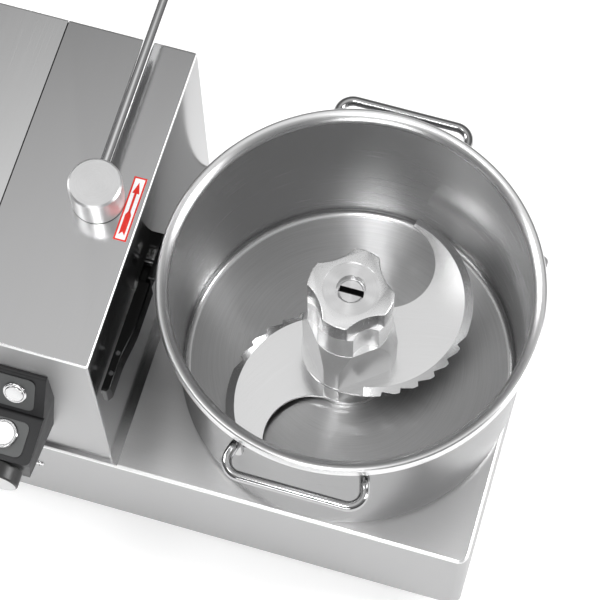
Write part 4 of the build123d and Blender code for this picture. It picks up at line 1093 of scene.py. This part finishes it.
@dataclass(frozen=True)
class Softbox:
    """One soft light: its place and the point it looks at in metres, its sides and its power in watts."""

    name: str
    place: Triple
    aim: Triple
    sides: Pair
    power: float

    def hang(self) -> None:
        """Add the light to the scene."""
        data = bpy.data.lights.new(self.name, "AREA")
        data.shape = "RECTANGLE"
        data.size, data.size_y = self.sides
        data.energy = self.power
        lamp = bpy.data.objects.new(self.name, data)
        lamp.location = self.place
        lamp.rotation_euler = (Vector(self.aim) - Vector(self.place)).to_track_quat("-Z", "Y").to_euler()
        bpy.context.scene.collection.objects.link(lamp)


@dataclass
class Studio:
    """Floor, lights, world and camera.

    The camera's lengths are in millimetres, its focal length in pixels, and the sky is given as
    shares of the way up and grey levels.
    """

    azimuth: float = 18.0
    elevation: float = 68.1
    roll: float = -1.7
    distance: float = 1771.0
    focal: float = 2316.0
    target: Pair = (-34.5, -21.4)
    pixels: float = 600.0
    sensor: float = 36.0
    floor_half: float = 6.0
    floor_tone: float = 0.88
    floor_glow: float = 0.28
    sky_ends: tuple[tuple[float, Triple], ...] = ((0.05, (0.10, 0.10, 0.105)), (0.97, (1.0, 1.0, 1.0)))
    sky: tuple[Pair, ...] = ((0.60, 0.24), (0.80, 0.32), (0.90, 0.78))
    lights: tuple[Softbox, ...] = (
        Softbox("key_left", (-1.9, 0.2, 1.5), (0, 0, 0.3), (0.7, 1.2), 26),
        Softbox("fill_front", (0.3, -2.4, 1.0), (0, 0, 0.25), (1.4, 0.4), 14),
        Softbox("rim_right", (2.0, 0.3, 1.2), (0.1, 0, 0.3), (0.4, 1.2), 40),
        Softbox("overhead", (-0.91, -0.47, 2.55), (0.1, 0, 0.2), (0.45, 0.45), 5),
        Softbox("front_top", (0.09, -1.14, 2.54), (0.1, 0, 0.2), (0.4, 0.4), 17),
    )

    def camera(self) -> None:
        """Set the camera."""
        a, e, roll = (math.radians(v) for v in (self.azimuth, self.elevation, self.roll))
        back = Vector((math.sin(a) * math.cos(e), -math.cos(a) * math.cos(e), math.sin(e)))
        right = Vector((math.cos(a), math.sin(a), 0))
        up = back.cross(right)
        turned_right = right * math.cos(roll) + up * math.sin(roll)
        turned_up = up * math.cos(roll) - right * math.sin(roll)
        target = Vector((BOWL_X + self.target[0], MID_Y + self.target[1], RIM_Z))
        data = bpy.data.cameras.new("view_camera")
        data.sensor_width = self.sensor
        data.lens = self.focal * self.sensor / self.pixels
        data.clip_end = 5 * self.floor_half
        camera = bpy.data.objects.new("view_camera", data)
        matrix = Matrix((turned_right, turned_up, back)).transposed().to_4x4()
        matrix.translation = (target + back * self.distance) * MM
        camera.matrix_world = matrix
        bpy.context.scene.collection.objects.link(camera)
        bpy.context.scene.camera = camera

    def floor(self) -> None:
        """Lay the pale floor."""
        tree = Tree("pale_floor")
        tree.fix(Roughness=0.9, Base_Color=(*(self.floor_tone,) * 3, 1))
        tree.fix(Emission_Color=(1, 1, 1, 1), Emission_Strength=self.floor_glow)
        h = self.floor_half
        mesh = bpy.data.meshes.new("floor")
        mesh.from_pydata([(-h, -h, 0), (h, -h, 0), (h, h, 0), (-h, h, 0)], [], [(0, 1, 2, 3)])
        mesh.materials.append(tree.material)
        Shape.new("floor", mesh)

    def world(self) -> None:
        """Surround the scene with a grey room that is white overhead."""
        world = bpy.data.worlds.new("room")
        bpy.context.scene.world = world
        world.use_nodes = True
        nodes, links = world.node_tree.nodes, world.node_tree.links
        place = nodes.new("ShaderNodeTexCoord")
        split = nodes.new("ShaderNodeSeparateXYZ")
        ramp = nodes.new("ShaderNodeValToRGB")
        for element, (position, colour) in zip(ramp.color_ramp.elements, self.sky_ends):
            element.position, element.color = position, (*colour, 1)
        for position, level in self.sky:
            ramp.color_ramp.elements.new(position).color = (level, level, level, 1)
        links.new(place.outputs["Generated"], split.inputs[0])
        links.new(split.outputs["Z"], ramp.inputs[0])
        links.new(ramp.outputs[0], nodes["Background"].inputs["Color"])

    def build(self) -> None:
        """Set the whole studio."""
        self.camera()
        self.floor()
        self.world()
        for light in self.lights:
            light.hang()
        bpy.context.scene.view_settings.view_transform = "Standard"
        LOG.info("studio: camera, floor and soft lights")


# The last zone is the painted highlight on the folds.
SHEET_ZONES = (SHEET_Z, SHEET_SIDE, FOLD_HIGHLIGHT)
DRESSED = (
    Zoned("base_shell", MACHINE, SHEET_X, "brushed_steel", 0.0, others=(SHEET_Z, FOLD_HIGHLIGHT), zone=base_side),
    Dressed("base_plate", MACHINE, SHEET_X, "brushed_steel", 0.0),
    Dressed("feet", MACHINE, RUBBER, "rubber", 0.8),
    Dressed("foot_bolts", MACHINE, BRIGHT_STEEL, "zinc_steel", 0.2),
    Zoned("housing_shell", MACHINE, SHEET_Y, "polished_steel", 0.0, others=SHEET_ZONES, zone=sheet_side),
    # The side cover's level top carries the lighter, painted-light tone.
    Zoned("side_cover", MACHINE, COVER_TOP_LIT, "polished_steel", 0.0, others=SHEET_ZONES, zone=sheet_side),
    # The seam strap is painted near-black as the shade in the seam gap above it.
    Dressed("seam_strap", MACHINE, PAINTED_SHADE, "brushed_steel", 0.0),
    Dressed("bearing_housing", MACHINE, CAST_METAL, "cast_aluminium"),
    Dressed("bearing_outer_rings", MACHINE, BRIGHT_STEEL, "bearing_steel", 0.2),
    Dressed("bearing_inner_rings", HEAD, BRIGHT_STEEL, "bearing_steel", 0.2),
    Dressed("spindle_bush", MACHINE, BRONZE, "bronze", 0.2),
    Dressed("neck_screws", MACHINE, BRIGHT_STEEL, "zinc_steel", 0.2),
    Dressed("bayonet_ring", MACHINE, HUB_STEEL, "machined_steel", 0.2),
    # The inside of the spindle's slot is painted near-black as shade.
    Zoned("spindle", HEAD, HUB_TURNED, "machined_steel", 0.2, others=(PAINTED_SHADE,), zone=in_slot),
    Dressed("drive_cross_pin", HEAD, BRIGHT_STEEL, "bearing_steel"),
    Dressed("blade_carrier", HEAD, HUB_STEEL, "machined_steel", 0.4),
    *(
        Zoned(node, HEAD, BLADE_FACE, "blade_steel", 0.0, crease=10.0, others=(BLADE_BEVEL_SHADED,), zone=is_bevel)
        for node in ("upper_blade", "lower_blade")
    ),
    *(
        Dressed(node, HEAD, BLOCK_STEEL, "machined_steel", 0.25, 24.0, 24.0)
        for node in ("spacer_block", "upper_block", "hub_sleeve")
    ),
    Zoned("lobed_knob", HEAD, HUB_STEEL, "machined_steel", 0.0, others=(HUB_TURNED,), zone=in_knob_disc),
    Dressed("spindle_pulley", HEAD, CAST_METAL, "cast_aluminium", 0.4),
    Dressed("motor_pulley", "motor_armature", CAST_METAL, "cast_aluminium", 0.4),
    Dressed("drive_belt", MACHINE, RUBBER, "belt_rubber", 0.4),
    Dressed("motor_casing", MACHINE, CAST_METAL, "cast_aluminium", 0.6),
    Dressed("motor_bolts", MACHINE, BRIGHT_STEEL, "zinc_steel", 0.2),
    Dressed("motor_bearings", MACHINE, BRIGHT_STEEL, "bearing_steel", 0.2),
    Dressed("motor_stator", MACHINE, IRON, "iron"),
    Dressed("motor_rotor", "motor_armature", IRON, "iron"),
    Dressed("motor_shaft", "motor_armature", HUB_STEEL, "machined_steel"),
    Dressed("motor_fan", "motor_armature", NYLON, "nylon"),
    Dressed("drive_inverter", MACHINE, CAST_METAL, "cast_aluminium", 0.5),
    Dressed("arm_pivot_pin", MACHINE, HUB_STEEL, "machined_steel", 0.2),
    Dressed("arm_washer", MACHINE, NYLON, "nylon", 0.1),
    Dressed("arm_post", "lid_arm", TURNED_POST, "machined_steel", 0.2),
    Dressed("arm_rod", "lid_arm", ROD_STEEL, "machined_steel", 0.0),
    Dressed("arm_grub_screw", "lid_arm", BRIGHT_STEEL, "zinc_steel", 0.15),
    Dressed("lever_bracket", MACHINE, LEVER_SKIN, "lever_plastic", 0.4),
    Dressed("lever_pins", MACHINE, DARK_STEEL, "machined_steel"),
    Dressed("side_lever", "lever", LEVER_SKIN, "lever_plastic"),
    Dressed("lever_screws", "lever", DARK_STEEL, "zinc_steel", 0.15),
    Dressed("console_body", MACHINE, CONSOLE_SKIN, "console_plastic", 0.7),
    *(
        Zoned(node, MACHINE, PLATE_SKIN, "plate_grey", 0.35, others=(GROOVE_SHADE,), zone=is_side)
        for node in ("console_upper_plate", "console_lower_plate")
    ),
    Dressed("stop_bezel", MACHINE, BRIGHT_STEEL, "machined_steel", 0.2),
    Dressed("start_bezel", MACHINE, HANDLE_STEEL, "machined_steel", 0.2),
    Dressed("stop_button", "stop_push", BRIGHT_STEEL, "machined_steel", 0.0),
    Dressed("start_button", "start_push", LENS, "lamp_white", 0.0),
    Dressed("speed_potentiometer", MACHINE, CONSOLE_SKIN, "console_plastic", 0.2),
    Dressed("speed_shaft", "speed_control", HUB_STEEL, "machined_steel", 0.2),
    Zoned("speed_knob", "speed_control", KNOB_SKIN, "knob_grey", 0.3, others=(DARK_MARK,), zone=is_low_ring),
    Dressed("speed_pointer", "speed_control", DARK_MARK, "black_mark", 0.0),
    Dressed("cable_gland", MACHINE, CONSOLE_SKIN, "console_plastic", 0.4),
)
BASE_SCREW_PLACES = ((-128.25, -133.5, 99.36), (-128.25, 148.5, 99.36))
COVER_SCREW_PLACES = tuple((-173.75, 143.5, DECK_Z + HOUSING_HEIGHT * share) for share in (0.15, 0.5, 0.85))
SCREWS = (
    ScrewRow("base_screws", MACHINE, BASE_SCREW_PLACES, ((0, -1, 0), (0, 1, 0))),
    ScrewRow("cover_screws", MACHINE, COVER_SCREW_PLACES, ((0, 1, 0),) * 3),
)
HANDLES = ((-1, "front_handle"), (1, "rear_handle"))


def main() -> None:
    """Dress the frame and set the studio."""
    logging.basicConfig(level=logging.INFO, format="%(name)s: %(message)s")
    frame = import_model()
    pieces = [part.build(frame["nodes"]) for part in (*DRESSED, ArrowLabel())]
    scatter = NodeTools.scatter()
    pieces += [row.build(scatter) for row in SCREWS]
    pieces.append(Bowl().build())
    sweep = NodeTools.rod_sweep()
    pieces += [RodHandle(side, node).build(sweep) for side, node in HANDLES]
    for piece in pieces:
        LOG.info("%s: %d faces", piece.name, len(piece.data.polygons))
    Studio().build()


if __name__ == "__main__":
    main()
